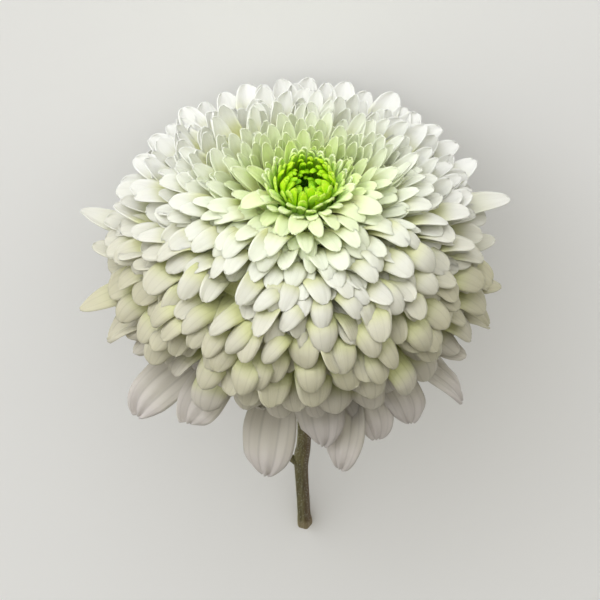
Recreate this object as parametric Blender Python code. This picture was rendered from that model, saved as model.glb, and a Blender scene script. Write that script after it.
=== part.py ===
"""A cut disbud chrysanthemum, lying on a table on its stem's end and the petals of one side.

Each flower part is modelled upright round the flower's own axis, with the origin at the centre of the
bloom's widest level, +Z towards its face and -Y towards the side that shows best. An empty then lays the
whole flower down. Metres, +Z up, the table is z = 0.
"""

import math
import random
from dataclasses import dataclass

import bmesh
import bpy
from mathutils import Matrix, Vector

MM = 0.001

# How the flower lies
AXIS_RISE = math.radians(22.7)
BLOOM_CENTRE = Vector((0.85, 48.4, 58.1)) * MM

# The dome that the petal tips of the bloom lie on
DOME_RADIUS = 60.5 * MM
DOME_HEIGHT = 38.0 * MM
LOWEST_LATITUDE = -20.0
HIGHEST_LATITUDE = 75.0
SHORT_LATITUDE = 22.0
GOLDEN_ANGLE = math.radians(137.508)

# The disc that every petal grows from, as (reach, height) in mm for the outermost and the innermost petals,
# and the latitudes in degrees between which the roots move in
OUTER_ROOT = Vector((11.0, -25.5)) * MM
INNER_ROOT = Vector((2.0, -18.5)) * MM
ROOT_LATITUDES = (-12.0, 78.0)

# How petals change from the rim to the crown: latitude in degrees on the dome, width in mm, angle in
# degrees above the outward direction of the blade's end, and how far its tip curls in, in degrees
STATIONS = (
    (-50.0, 15.0, -62.0, 12.0),
    (-12.0, 13.5, -12.0, 22.0),
    (5.0, 13.0, 6.0, 40.0),
    (20.0, 12.6, 20.0, 55.0),
    (35.0, 11.8, 38.0, 60.0),
    (50.0, 10.6, 60.0, 58.0),
    (65.0, 8.8, 92.0, 52.0),
    (78.0, 7.4, 124.0, 40.0),
)
CROWDING = 0.84
SEED = 12

# The blade of a petal: its thickness and how far its edges rise for each half width. As shares of its
# length: the depth of the notch in its tip, where its tip starts to curl, where its claw has swollen to the
# full width, where it starts to round off, and how long the arms are that bend its midrib.
PETAL_THICKNESS = 0.95 * MM
CUP = 0.25
NOTCH = 0.035
CURL_START = 0.8
FULL_WIDTH = 0.66
ROUND_START = 0.62
BEND_ARM = 0.36
CLAW_WIDTH = 0.42
TIP_ROUNDNESS = 0.95
FLARE = 0.35

# How much petals differ from one another: width, tip curl, the angle of the end, twist, sway and turn in
# degrees, and the place of the tip
WIDTH_RANGE = (0.94, 1.06)
CURL_RANGE = (0.7, 1.2)
ANGLE_SPREAD = 7.0
TWIST_SPREAD = 14.0
SWAY_SPREAD = 3.0
TURN_SPREAD = 2.5
REACH_SPREAD = 1.2 * MM
HEIGHT_SPREAD = 1.0 * MM

# The outermost whorl, which hangs: azimuth in degrees, reach and height of the tip in mm, width in mm.
# The lower a tip hangs, the lower the latitude whose bend it takes.
HANGING_FROM = -12.0
HANGING_DROOP = 1.45
HANGING_PETALS = (
    (-100.0, 58.5, -37.5, 17.0),
    (-82.0, 54.5, -26.0, 15.5),
    (-74.0, 58.0, -35.0, 15.0),
    (-64.0, 55.5, -29.0, 14.0),
    (-53.0, 57.5, -25.5, 15.0),
    (-36.0, 62.5, -26.5, 14.0),
    (-16.0, 61.0, -14.5, 14.0),
    (1.0, 58.0, -14.0, 14.0),
    (18.0, 59.0, -18.0, 14.0),
    (36.0, 57.0, -20.0, 14.0),
    (54.0, 56.0, -21.0, 14.0),
    (73.0, 60.0, -20.0, 14.5),
    (92.0, 57.5, -20.0, 14.0),
    (110.0, 60.0, -20.0, 14.5),
    (128.0, 56.0, -21.0, 14.0),
    (146.0, 58.0, -20.0, 14.0),
    (164.0, 59.0, -18.0, 14.0),
    (-176.0, 59.0, -15.0, 14.0),
    (-158.0, 63.0, -13.0, 15.0),
    (-141.0, 64.0, -29.5, 15.0),
    (-125.0, 59.0, -22.5, 16.0),
)

# Tips that stand out of the bloom's outline: azimuth in degrees, reach and height in mm.
# Each takes the nearest petal of the dome. The last three carry the bloom on the table.
OUTSTANDING_CURL = 0.25
OUTSTANDING_TIPS = (
    (86.0, 63.0, 17.0),
    (96.0, 61.5, 18.0),
    (106.0, 62.0, 17.0),
    (114.0, 61.5, 17.0),
    (127.0, 63.0, 16.0),
    (135.0, 61.0, 15.0),
    (142.0, 62.0, 14.0),
    (150.0, 62.0, 12.0),
    (159.0, 62.0, 10.0),
    (168.0, 70.0, 4.0),
    (177.0, 64.5, 0.0),
    (-167.0, 69.5, -8.0),
    (-148.0, 59.5, -10.0),
    (-31.0, 60.5, -12.0),
    (-6.0, 64.0, -8.0),
    (5.0, 62.0, 1.0),
    (15.0, 69.0, 6.0),
    (27.0, 65.5, 12.0),
    (34.0, 63.5, 14.0),
    (41.0, 63.0, 15.0),
    (50.0, 62.0, 16.0),
    (60.0, 64.5, 17.0),
    (75.0, 63.0, 17.0),
    (69.0, 69.0, -6.0),
    (90.0, 62.5, -6.0),
    (111.0, 69.0, -6.0),
)

# The dense middle of the bloom, which the petals stand out of: radius and height in mm, bottom to top
CORE_PROFILE = (
    (13.5, -28.8),
    (20.0, -25.0),
    (33.0, -15.0),
    (41.0, -4.0),
    (41.0, 6.0),
    (35.5, 15.5),
    (26.0, 22.5),
    (17.5, 26.3),
    (14.2, 26.3),
    (14.2, 17.0),
)
CORE_SIDES = 24
CORE_COVER = 4.0 * MM

# The green heart in its well in the middle of the crown: each whorl as a count, then the reach of its roots,
# the reach and height of its tips and its width in mm, and the angle in degrees of the florets' ends
HEART_RADIUS = 13.2 * MM
WELL_RADIUS = 14.3 * MM
WELL_FLOOR = 17.0 * MM
HEART_PROFILE = ((12.6, 17.4), (12.6, 27.0), (10.0, 31.5), (5.0, 33.0), (2.0, 29.5))
HEART_WHORLS = (
    (14, 12.0, 7.6, 36.4, 4.8, 152.0),
    (12, 9.8, 5.0, 36.9, 3.9, 166.0),
    (9, 7.2, 3.2, 35.6, 3.1, 172.0),
    (5, 4.4, 1.8, 33.0, 2.4, 150.0),
)
HEART_SIDES = 20
HEART_COVER = 2.0 * MM
FLORET_ROOT = 21.0
FLORET_THICKNESS = 0.8 * MM
FLORET_CURL = 0.5

# The green cup under the bloom and its whorls of bracts: count, reach and height of the tips and width in mm
INVOLUCRE_PROFILE = ((5.0, -36.5), (9.0, -35.0), (12.0, -32.0), (12.8, -29.4))
INVOLUCRE_SIDES = 20
BRACT_WHORLS = ((13, 16.5, -29.9, 5.4), (11, 13.6, -33.2, 4.8))
BRACT_ROOT = 7.0
BRACT_RISE = 3.5
BRACT_SHAPE = ((0.0, 0.9), (0.6, 1.0))
BRACT_THICKNESS = 0.8 * MM
BRACT_TURN = 0.12
BRACT_REACH = (0.95, 1.03)

# The stem: height, radius and sideways shift in mm of its rings, from the cut end up
STEM_RINGS = (
    (-147.0, 2.1, 2.3),
    (-146.2, 2.5, 2.3),
    (-143.5, 2.55, 2.2),
    (-140.5, 2.25, 2.0),
    (-132.0, 2.2, 1.7),
    (-122.0, 2.2, 1.3),
    (-113.0, 2.3, 1.0),
    (-109.0, 2.5, 1.0),
    (-105.0, 2.55, 1.3),
    (-100.0, 2.35, 1.8),
    (-90.0, 2.3, 2.0),
    (-75.0, 2.35, 1.7),
    (-60.0, 2.45, 1.0),
    (-49.0, 2.7, 0.4),
    (-42.5, 3.3, 0.1),
    (-39.0, 4.4, 0.0),
    (-36.8, 5.6, 0.0),
)
STEM_SIDES = 20
STEM_RIBS = 5
RIB_HEIGHT = 0.16 * MM

# The stub of a side shoot: its place up the stem, its lean, and shares of its length with its radius in mm
STUB_HEIGHT = -109.5 * MM
STUB_SHIFT = 1.0 * MM
STUB_LENGTH = 5.6 * MM
STUB_LEAN = (-0.76, -0.15, 0.63)
STUB_RINGS = ((0.0, 2.3), (0.5, 1.75), (0.85, 1.15), (1.0, 0.6))
STUB_SIDES = 10
SHARP_ANGLE = math.radians(35.0)

LYING = Matrix.Translation(BLOOM_CENTRE) @ Matrix.Rotation(AXIS_RISE - math.pi / 2, 4, "X")
STANDING = LYING.inverted()
UP = Vector((0.0, 0.0, 1.0))


def on_table(point, lift=0.0):
    """The point, raised to the table or above it if the lying flower would push it through."""
    laid = LYING @ point
    laid.z = max(laid.z, lift)
    return STANDING @ laid


def blend(low, high, share):
    return low + (high - low) * share


def directions(azimuth):
    """The outward and the crosswise direction at an azimuth round the flower's axis."""
    outward = Vector((math.cos(azimuth), math.sin(azimuth), 0.0))
    return outward, UP.cross(outward)


def station(latitude):
    """Width in metres, end angle and tip curl in radians of a petal at this latitude."""
    for (low, *first), (high, *last) in zip(STATIONS, STATIONS[1:]):
        if latitude <= high:
            break
    share = max(0.0, min(1.0, (latitude - low) / (high - low)))
    width, angle, curl = (blend(a, b, share) for a, b in zip(first, last))
    return width * MM, math.radians(angle), math.radians(curl)


@dataclass
class Petal:
    """A petal, by where it grows, where its tip is and how its blade bends."""

    root: Vector
    azimuth: float
    reach: float
    height: float
    latitude: float
    width: float
    angle: float
    curl: float
    twist: float
    sway: float

    def midrib(self, share):
        """The point at this share of the length, as (outward, up), before the tip curls."""
        tip = Vector((self.reach, self.height))
        span = (tip - self.root).length
        aim = math.atan2(tip.y - self.root.y, tip.x - self.root.x)
        start = aim + FLARE * (aim - self.angle)
        first = self.root + BEND_ARM * span * Vector((math.cos(start), math.sin(start)))
        last = tip - BEND_ARM * span * Vector((math.cos(self.angle), math.sin(self.angle)))
        rest = 1.0 - share
        near = rest**3 * self.root + 3 * rest**2 * share * first
        return near + 3 * rest * share**2 * last + share**3 * tip

    def section(self, share):
        """Centre, crosswise direction and inner normal at this share of the length."""
        here = self.midrib(share)
        slope = here - self.midrib(share - 0.01)
        heading = math.atan2(slope.y, slope.x)
        if share > CURL_START:
            part = (share - CURL_START) / (1.0 - CURL_START)
            hinge = self.midrib(CURL_START)
            here = hinge + Matrix.Rotation(self.curl * part / 2, 2) @ (here - hinge)
            heading += self.curl * part
        outward, across = directions(self.azimuth + self.sway * share**2)
        normal = UP * math.cos(heading) - outward * math.sin(heading)
        turn = self.twist * share
        return (
            outward * here.x + UP * here.y,
            across * math.cos(turn) + normal * math.sin(turn),
            normal * math.cos(turn) - across * math.sin(turn),
        )

    def half_width(self, share):
        """Half the width: a narrow claw that swells to a blade with a round end."""
        swell = min(1.0, share / FULL_WIDTH)
        swell = blend(CLAW_WIDTH, 1.0, swell * swell * (3 - 2 * swell))
        end = max(0.0, (share - ROUND_START) / (1.0 - ROUND_START))
        return self.width / 2 * swell * math.sqrt(1.0 - TIP_ROUNDNESS * end * end)


def grown_petal(number, azimuth, reach, height, latitude, width=None):
    """A petal with the size and bend of its latitude and small differences of its own."""
    draw = random.Random(SEED * 1000 + number)
    usual_width, angle, curl = station(latitude)
    low, high = ROOT_LATITUDES
    inward = max(0.0, min(1.0, (latitude - low) / (high - low)))
    return Petal(
        root=blend(OUTER_ROOT, INNER_ROOT, inward),
        azimuth=azimuth,
        reach=reach,
        height=height,
        latitude=latitude,
        width=(width or usual_width) * draw.uniform(*WIDTH_RANGE),
        angle=angle + math.radians(draw.uniform(-ANGLE_SPREAD, ANGLE_SPREAD)),
        curl=curl * draw.uniform(*CURL_RANGE),
        twist=math.radians(draw.uniform(-TWIST_SPREAD, TWIST_SPREAD)),
        sway=math.radians(draw.uniform(-SWAY_SPREAD, SWAY_SPREAD)),
    )


def dome_petals():
    """Petals on the golden angle from the rim to the crown, each with its own share of the dome."""
    petals = []
    latitude = LOWEST_LATITUDE
    while latitude < HIGHEST_LATITUDE:
        number = len(petals)
        draw = random.Random(SEED * 500 + number)
        turn = math.radians(latitude)
        reach = DOME_RADIUS * math.cos(turn)
        height = DOME_HEIGHT * math.sin(turn)
        azimuth = number * GOLDEN_ANGLE % math.tau + math.radians(draw.uniform(-TURN_SPREAD, TURN_SPREAD))
        out = draw.uniform(-REACH_SPREAD, REACH_SPREAD)
        up = draw.uniform(-HEIGHT_SPREAD, HEIGHT_SPREAD)
        petals.append(grown_petal(number, azimuth, reach + out, height + up, latitude))
        room = (CROWDING * station(latitude)[0]) ** 2
        slope = math.hypot(DOME_RADIUS * math.sin(turn), DOME_HEIGHT * math.cos(turn))
        latitude += math.degrees(room / (math.tau * reach * slope))
    return petals


def place_outstanding(petals):
    """Draws the nearest petal of the dome to each tip that stands out of the outline."""
    free = list(petals)
    for degrees, reach, height in OUTSTANDING_TIPS:
        azimuth = math.radians(degrees)
        tip = directions(azimuth)[0] * reach * MM + UP * height * MM
        gaps = [(directions(p.azimuth)[0] * p.reach + UP * p.height - tip).length for p in free]
        nearest = free.pop(gaps.index(min(gaps)))
        nearest.azimuth = azimuth
        nearest.reach = reach * MM
        nearest.height = height * MM
        nearest.curl *= OUTSTANDING_CURL


def hanging_petals():
    petals = []
    for number, (degrees, reach, height, width) in enumerate(HANGING_PETALS):
        latitude = HANGING_FROM + HANGING_DROOP * (height - HANGING_FROM)
        azimuth = math.radians(degrees)
        petals.append(grown_petal(900 + number, azimuth, reach * MM, height * MM, latitude, width * MM))
    return petals


def heart_florets():
    """Whorls of young florets that fold in over the pit in the middle."""
    florets = []
    for whorl, (count, root, reach, height, width, degrees) in enumerate(HEART_WHORLS):
        for number in range(count):
            azimuth = math.tau * (number + 0.5 * whorl) / count
            serial = 2000 + 50 * whorl + number
            place = (serial, azimuth, reach * MM, height * MM, HIGHEST_LATITUDE, width * MM)
            floret = grown_petal(*place)
            floret.root = Vector((root, FLORET_ROOT)) * MM
            floret.angle = math.radians(degrees)
            floret.curl *= FLORET_CURL
            florets.append(floret)
    return florets


def blade(petal, shares, thickness):
    """Vertices and faces of one petal: an arched blade with thin edges and a notched tip."""
    vertices = []
    for share in shares[:-1]:
        centre, across, normal = petal.section(share)
        half = petal.half_width(share)
        edge = across * half
        rim = normal * (CUP * half)
        skin = normal * (thickness / 2)
        vertices += [
            on_table(centre - edge + rim, thickness),
            on_table(centre + skin, thickness),
            on_table(centre + edge + rim, thickness),
            on_table(centre - skin),
        ]
    centre, across, normal = petal.section(1.0)
    half = petal.half_width(1.0)
    edge = across * half
    rim = normal * (CUP * half)
    notch = petal.section(1.0 - NOTCH)[0]
    vertices += [on_table(point) for point in (centre - edge + rim, notch, centre + edge + rim)]
    faces = [(0, 1, 2), (0, 2, 3)]
    rows = len(shares) - 1
    for row in range(rows):
        left, top, right, under = range(4 * row, 4 * row + 4)
        next_left, next_top, next_right = range(4 * row + 4, 4 * row + 7)
        next_under = 4 * row + 7 if row < rows - 1 else next_top
        faces += [
            (left, next_top, top),
            (left, next_left, next_top),
            (top, next_top, right),
            (next_top, next_right, right),
            (left, under, next_under),
            (left, next_under, next_left),
            (under, right, next_under),
            (next_under, right, next_right),
        ]
    return vertices, faces


def depth_in(profile):
    """A function that tells how deep a point is inside the solid turned from this profile, in metres."""
    points = [Vector(point) * MM for point in profile]

    def depth(point):
        spot = Vector((math.hypot(point.x, point.y), point.z))
        depths = []
        for low, high in zip(points, points[1:]):
            along = high - low
            share = max(0.0, min(1.0, (spot - low).dot(along) / along.length_squared))
            gap = spot - (low + along * share)
            inside = gap.x * along.y < gap.y * along.x
            depths.append(gap.length if inside else -gap.length)
        return min(depths, key=abs)

    return depth


def shares_from(petal, core_depth, cover):
    """Where the rows of a petal lie: from inside the core, this deep, out to the tip."""
    start = 0.7
    while start > 0.04 and core_depth(petal.section(start)[0]) < cover:
        start -= 0.02
    if petal.latitude > SHORT_LATITUDE:
        return (start, 0.78, 0.91, 1.0)
    return (start, blend(start, CURL_START, 0.5), CURL_START, 0.92, 1.0)


def drawn_to(point, radius):
    """The point at the same height and azimuth, this far from the flower's axis."""
    reach = math.hypot(point.x, point.y)
    return Vector((point.x * radius / reach, point.y * radius / reach, point.z))


def outside_well(point):
    """The point, pushed out of the well in the crown that the heart fills."""
    in_well = point.z >= WELL_FLOOR and math.hypot(point.x, point.y) < WELL_RADIUS
    return drawn_to(point, WELL_RADIUS) if in_well else point


def inside_well(point):
    """The point, pulled in to the heart's own radius."""
    return drawn_to(point, HEART_RADIUS) if math.hypot(point.x, point.y) > HEART_RADIUS else point


def clear_scene():
    for item in list(bpy.data.objects):
        bpy.data.objects.remove(item)


def make_material(name, colour, roughness):
    material = bpy.data.materials.new(name)
    material.use_nodes = True
    shader = material.node_tree.nodes["Principled BSDF"]
    shader.inputs["Base Color"].default_value = (*colour, 1.0)
    shader.inputs["Roughness"].default_value = roughness
    shader.inputs["Metallic"].default_value = 0.0
    return material


def new_object(name, vertices, faces, collection=None):
    mesh = bpy.data.meshes.new(name)
    mesh.from_pydata([tuple(vertex) for vertex in vertices], [], faces)
    shape = bmesh.new()
    shape.from_mesh(mesh)
    bmesh.ops.recalc_face_normals(shape, faces=shape.faces)
    shape.to_mesh(mesh)
    shape.free()
    made = bpy.data.objects.new(name, mesh)
    (collection or bpy.context.scene.collection).objects.link(made)
    return made


def tube(rings, sides):
    """Vertices and faces of a closed tube through rings, each a function of the turn round it."""
    vertices = [ring(math.tau * side / sides) for ring in rings for side in range(sides)]
    faces = [tuple(range(sides)), tuple(range(len(vertices) - sides, len(vertices)))]
    for row in range(len(rings) - 1):
        for side in range(sides):
            a, b = row * sides + side, row * sides + (side + 1) % sides
            faces.append((a, b, b + sides, a + sides))
    return vertices, faces


def turned(name, profile, sides):
    """A closed solid turned about the flower's axis from (radius, height) points in mm, bottom to top."""

    def ring(radius, height):
        return lambda turn: Vector((radius * math.cos(turn), radius * math.sin(turn), height)) * MM

    return new_object(name, *tube([ring(*point) for point in profile], sides))


def shells_of(shape):
    """The faces of a bmesh, in groups that hang together."""
    unseen = set(shape.faces)
    shells = []
    while unseen:
        queue = [unseen.pop()]
        shell = []
        while queue:
            face = queue.pop()
            shell.append(face)
            beside = {other for edge in face.edges for other in edge.link_faces} & unseen
            unseen -= beside
            queue.extend(beside)
        shells.append(shell)
    return shells


def keep_outer_skin(mesh):
    """Leaves only the largest shell: loose scraps go, and a sealed hollow is filled."""
    shape = bmesh.new()
    shape.from_mesh(mesh)
    for shell in sorted(shells_of(shape), key=len)[:-1]:
        bmesh.ops.delete(shape, geom=shell, context="FACES")
    bmesh.ops.triangulate(shape, faces=shape.faces)
    shape.to_mesh(mesh)
    shape.free()


def gather(name):
    collection = bpy.data.collections.new(name)
    bpy.context.scene.collection.children.link(collection)
    return collection


def fuse(body, pieces, solver="EXACT"):
    """Joins a collection's pieces to the body as one closed solid, and removes them."""
    join = body.modifiers.new("join", "BOOLEAN")
    join.operation = "UNION"
    join.operand_type = "COLLECTION"
    join.collection = pieces
    join.solver = solver
    graph = bpy.context.evaluated_depsgraph_get()
    joined = bpy.data.meshes.new_from_object(body.evaluated_get(graph))
    body.modifiers.clear()
    body.data = joined
    keep_outer_skin(joined)
    for piece in list(pieces.objects):
        bpy.data.objects.remove(piece)
    bpy.data.collections.remove(pieces)
    return body


def white_petals():
    core = turned("white_petals", CORE_PROFILE, CORE_SIDES)
    core_depth = depth_in(CORE_PROFILE)
    petals = dome_petals()
    place_outstanding(petals)
    pieces = gather("petals")
    for petal in petals + hanging_petals():
        vertices, faces = blade(petal, shares_from(petal, core_depth, CORE_COVER), PETAL_THICKNESS)
        new_object("petal", [outside_well(vertex) for vertex in vertices], faces, pieces)
    return fuse(core, pieces, "MANIFOLD")


def green_heart():
    heart = turned("green_heart", HEART_PROFILE, HEART_SIDES)
    heart_depth = depth_in(HEART_PROFILE)
    pieces = gather("florets")
    for floret in heart_florets():
        vertices, faces = blade(floret, shares_from(floret, heart_depth, HEART_COVER), FLORET_THICKNESS)
        new_object("floret", [inside_well(vertex) for vertex in vertices], faces, pieces)
    return fuse(heart, pieces, "MANIFOLD")


def bract(azimuth, reach, height, width):
    """Vertices and faces of one pointed bract that leans out from the cup."""
    outward, across = directions(azimuth)
    root = outward * BRACT_ROOT * MM + UP * (height - BRACT_RISE) * MM
    tip = outward * reach * MM + UP * height * MM
    skin = (tip - root).cross(across).normalized() * BRACT_THICKNESS / 2
    vertices = []
    for share, swell in BRACT_SHAPE:
        centre = root.lerp(tip, share)
        half = across * width * swell / 2 * MM
        vertices += [centre - half, centre + skin, centre + half, centre - skin]
    vertices.append(tip)
    faces = [(0, 1, 2, 3)]
    for side in range(4):
        after = (side + 1) % 4
        faces += [(side, 4 + side, 4 + after, after), (4 + side, 8, 4 + after)]
    return vertices, faces


def green_bracts():
    cup = turned("green_bracts", INVOLUCRE_PROFILE, INVOLUCRE_SIDES)
    pieces = gather("bracts")
    for whorl, (count, reach, height, width) in enumerate(BRACT_WHORLS):
        for number in range(count):
            draw = random.Random(SEED * 300 + 20 * whorl + number)
            place = number + 0.5 * whorl + draw.uniform(-BRACT_TURN, BRACT_TURN)
            shape = bract(math.tau * place / count, reach * draw.uniform(*BRACT_REACH), height, width)
            new_object("bract", *shape, pieces)
    return fuse(cup, pieces)


def stem_ring(height, radius, shift):
    centre = Vector((shift, 0.0, height)) * MM

    def point(turn):
        swell = radius * MM + RIB_HEIGHT * math.cos(STEM_RIBS * turn)
        return on_table(centre + Vector((math.cos(turn), math.sin(turn), 0.0)) * swell)

    return point


def stub_ring(share, radius):
    along = Vector(STUB_LEAN).normalized()
    across = along.orthogonal().normalized()
    other = along.cross(across)
    centre = Vector((STUB_SHIFT, 0.0, STUB_HEIGHT)) + along * STUB_LENGTH * share
    return lambda turn: centre + (across * math.cos(turn) + other * math.sin(turn)) * radius * MM


def stem():
    stalk = new_object("stem", *tube([stem_ring(*ring) for ring in STEM_RINGS], STEM_SIDES))
    pieces = gather("stubs")
    new_object("stub", *tube([stub_ring(*ring) for ring in STUB_RINGS], STUB_SIDES), pieces)
    fuse(stalk, pieces)
    stalk.data.shade_smooth()
    stalk.data.set_sharp_from_angle(angle=SHARP_ANGLE)
    return stalk


def main():
    clear_scene()
    white = make_material("petal white", (0.86, 0.87, 0.82), 0.55)
    lime = make_material("young floret green", (0.42, 0.62, 0.08), 0.5)
    leaf = make_material("bract green", (0.24, 0.36, 0.10), 0.6)
    bark = make_material("stem olive", (0.17, 0.16, 0.07), 0.65)
    axis = bpy.data.objects.new("flower_axis", None)
    bpy.context.scene.collection.objects.link(axis)
    axis.matrix_world = LYING
    for piece, material in (
        (white_petals(), white),
        (green_heart(), lime),
        (green_bracts(), leaf),
        (stem(), bark),
    ):
        piece.data.materials.clear()
        piece.data.materials.append(material)
        piece.parent = axis


main()
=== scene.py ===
# %% [markdown]
# # A cut disbud chrysanthemum, dressed for its picture
#
# The flower is a single large bloom on a short stem, laid on a pale table. Its plain model comes in as a
# fixed frame, and this script gives it petals, florets, bracts and a stem that look like the living ones. All
# sizes are in metres. Each flower part is drawn upright round the flower's own axis and is laid down at the
# end, because petals are far easier to think of as "this far out, this high" than as they lie on the table.

import math
import random

import bmesh
import bpy
import numpy as np
from mathutils import Matrix, Vector


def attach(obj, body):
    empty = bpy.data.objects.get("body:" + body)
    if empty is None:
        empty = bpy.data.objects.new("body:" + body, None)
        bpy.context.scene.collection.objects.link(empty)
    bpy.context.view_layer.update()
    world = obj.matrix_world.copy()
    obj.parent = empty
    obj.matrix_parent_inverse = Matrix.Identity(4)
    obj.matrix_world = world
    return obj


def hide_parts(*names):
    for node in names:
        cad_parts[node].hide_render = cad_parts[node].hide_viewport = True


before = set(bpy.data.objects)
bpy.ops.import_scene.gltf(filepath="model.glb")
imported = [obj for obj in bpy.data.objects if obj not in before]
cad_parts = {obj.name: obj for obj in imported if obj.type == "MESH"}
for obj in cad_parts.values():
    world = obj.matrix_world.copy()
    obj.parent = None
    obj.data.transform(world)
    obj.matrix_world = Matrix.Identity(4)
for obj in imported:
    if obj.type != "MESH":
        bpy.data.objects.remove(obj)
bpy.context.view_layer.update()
MM = 0.001
print("nodes of the frame:", ", ".join(sorted(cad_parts)))

# %% [markdown]
# ## How the flower lies
#
# The axis of the bloom rises 22.7 degrees from the table, with the face up and away from the stem's end. One
# matrix turns a point of the upright flower into a point of the lying one. A petal that would dip under the
# table is pushed up to it, as the real one is by its own weight. In the photograph the green heart sits to
# the right of the bloom's middle, so the crown is drawn across, gradually, on the way up.

# %% Lay the flower down
AXIS_RISE = math.radians(22.7)
BLOOM_CENTRE = Vector((0.85, 48.4, 58.1)) * MM
LYING = Matrix.Translation(BLOOM_CENTRE) @ Matrix.Rotation(AXIS_RISE - math.pi / 2, 4, "X")
UP = Vector((0.0, 0.0, 1.0))

# How far the crown is drawn across, and the heights between which that grows from nothing to all of it
CROWN_SHIFT = 2.4 * MM
CROWN_HEIGHTS = (18.0 * MM, 32.0 * MM)


def lay_down(piece, lift=0.0002):
    """Moves a piece's own points to where the flower lies, and keeps them above the table."""
    mesh = piece.data
    points = np.empty(len(mesh.vertices) * 3, np.float32)
    mesh.vertices.foreach_get("co", points)
    low, high = CROWN_HEIGHTS
    points[0::3] += CROWN_SHIFT * np.clip((points[2::3] - low) / (high - low), 0.0, 1.0)
    mesh.vertices.foreach_set("co", points)
    mesh.transform(LYING)
    mesh.vertices.foreach_get("co", points)
    points[2::3] = np.maximum(points[2::3], lift)
    mesh.vertices.foreach_set("co", points)
    mesh.update()


def new_object(name, data):
    """A new object of this data in the scene."""
    made = bpy.data.objects.new(name, data)
    bpy.context.scene.collection.objects.link(made)
    return made


print("the bloom's centre is", round(BLOOM_CENTRE.z / MM), "mm above the table")

# %% [markdown]
# ## Camera
#
# The photograph, as judged, looks down on the face of the bloom 40 degrees off its axis, from about 0.9 m
# with a long lens, so the far petals are hardly smaller than the near ones. The camera stands where that view
# is and is turned a little, so that the bloom sits above the middle of the picture as in the photograph.

# %% Place the camera
VIEW_OFF_AXIS = math.radians(40.0)
CAMERA_DISTANCE = 0.9
SENSOR_WIDTH = 36.0

# The scale at the bloom, the size of the picture and the place of the bloom's centre in it, in pixels
PIXELS_PER_METRE = 3207.7
PICTURE = 600
BLOOM_IN_PICTURE = (298.0, 255.0)

towards = Vector((0.0, -math.sin(VIEW_OFF_AXIS), math.cos(VIEW_OFF_AXIS)))
picture_up = Vector((0.0, math.cos(VIEW_OFF_AXIS), math.sin(VIEW_OFF_AXIS)))
right = picture_up.cross(towards)
aim = (
    right * (PICTURE / 2 - BLOOM_IN_PICTURE[0]) / PIXELS_PER_METRE
    - picture_up * (PICTURE / 2 - BLOOM_IN_PICTURE[1]) / PIXELS_PER_METRE
)
back = (towards * CAMERA_DISTANCE - aim).normalized()
side = picture_up.cross(back).normalized()
turn = Matrix((side, back.cross(side), back)).transposed().to_4x4()
camera = new_object("camera", bpy.data.cameras.new("camera"))
camera.data.sensor_width = SENSOR_WIDTH
camera.data.lens = SENSOR_WIDTH / 2 * CAMERA_DISTANCE * PIXELS_PER_METRE / (PICTURE / 2)
camera.data.clip_end = 10.0
camera.matrix_world = LYING @ Matrix.Translation(towards * CAMERA_DISTANCE) @ turn
bpy.context.scene.camera = camera
print("focal length", round(camera.data.lens), "mm")

# %% [markdown]
# ## Helpers for nodes
#
# Both geometry and materials are trees of nodes. The function add puts in a node, sets its settings and feeds
# its inputs, so that the trees below read as a list of steps. An input is either another node's output, which
# is linked, or a plain value. The short functions after it call it for the nodes that are needed most.

# %% Helpers for nodes and colours
VECTOR = "ShaderNodeVectorMath"
ROTATE = "ShaderNodeVectorRotate"
CURVE = "ShaderNodeFloatCurve"
NAMED = "GeometryNodeInputNamedAttribute"
STORE = "GeometryNodeStoreNamedAttribute"

# Plant tissue bends light by about this much, between water and dry cell wall
TISSUE_IOR = 1.42


def add(tree, kind, inputs=None, **settings):
    """Adds a node and returns its first output that is in use."""
    node = tree.nodes.new(kind)
    for name, value in settings.items():
        setattr(node, name, value)
    for key, value in (inputs or {}).items():
        socket = node.inputs[key]
        if isinstance(value, bpy.types.NodeSocket):
            tree.links.new(value, socket)
        else:
            socket.default_value = value
    return next(output for output in node.outputs if output.enabled)


def calc(tree, operation, *values, **settings):
    """A math node on these values."""
    return add(tree, "ShaderNodeMath", dict(enumerate(values)), operation=operation, **settings)


def between(tree, value, low, high, start=0.0, end=1.0, smooth=False):
    """A value from low to high, brought to the range from start to end and kept in it."""
    inputs = {0: value, 1: low, 2: high, 3: start, 4: end}
    return add(tree, "ShaderNodeMapRange", inputs, interpolation_type="SMOOTHSTEP" if smooth else "LINEAR")


def mix(tree, share, first, second, kind="RGBA"):
    """A mix of two colours, vectors or numbers, with this share of the second."""
    place = {"FLOAT": 2, "VECTOR": 4, "RGBA": 6}[kind]
    return add(tree, "ShaderNodeMix", {0: share, place: first, place + 1: second}, data_type=kind)


def noise(tree, where, stretch, detail):
    """Noise over these places, which are multiplied by stretch first."""
    where = add(tree, VECTOR, {0: where, 1: stretch}, operation="MULTIPLY")
    return add(tree, "ShaderNodeTexNoise", {"Vector": where, "Scale": 1.0, "Detail": detail})


def carried(tree, name, output="Fac"):
    """A value that the mesh carries, for a material."""
    return add(tree, "ShaderNodeAttribute", attribute_name=name).node.outputs[output]


def new_material(name, settings):
    """A material whose shader has these settings all over."""
    material = bpy.data.materials.new(name)
    material.use_nodes = True
    for key, value in settings.items():
        material.node_tree.nodes["Principled BSDF"].inputs[key].default_value = value
    return material


def paint(tree, colour, height, strength, distance):
    """Gives a material this colour, and bumps from this height."""
    shader = tree.nodes["Principled BSDF"]
    tree.links.new(colour, shader.inputs["Base Color"])
    bump = add(tree, "ShaderNodeBump", {"Height": height, "Strength": strength, "Distance": distance})
    tree.links.new(bump, shader.inputs["Normal"])


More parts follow.
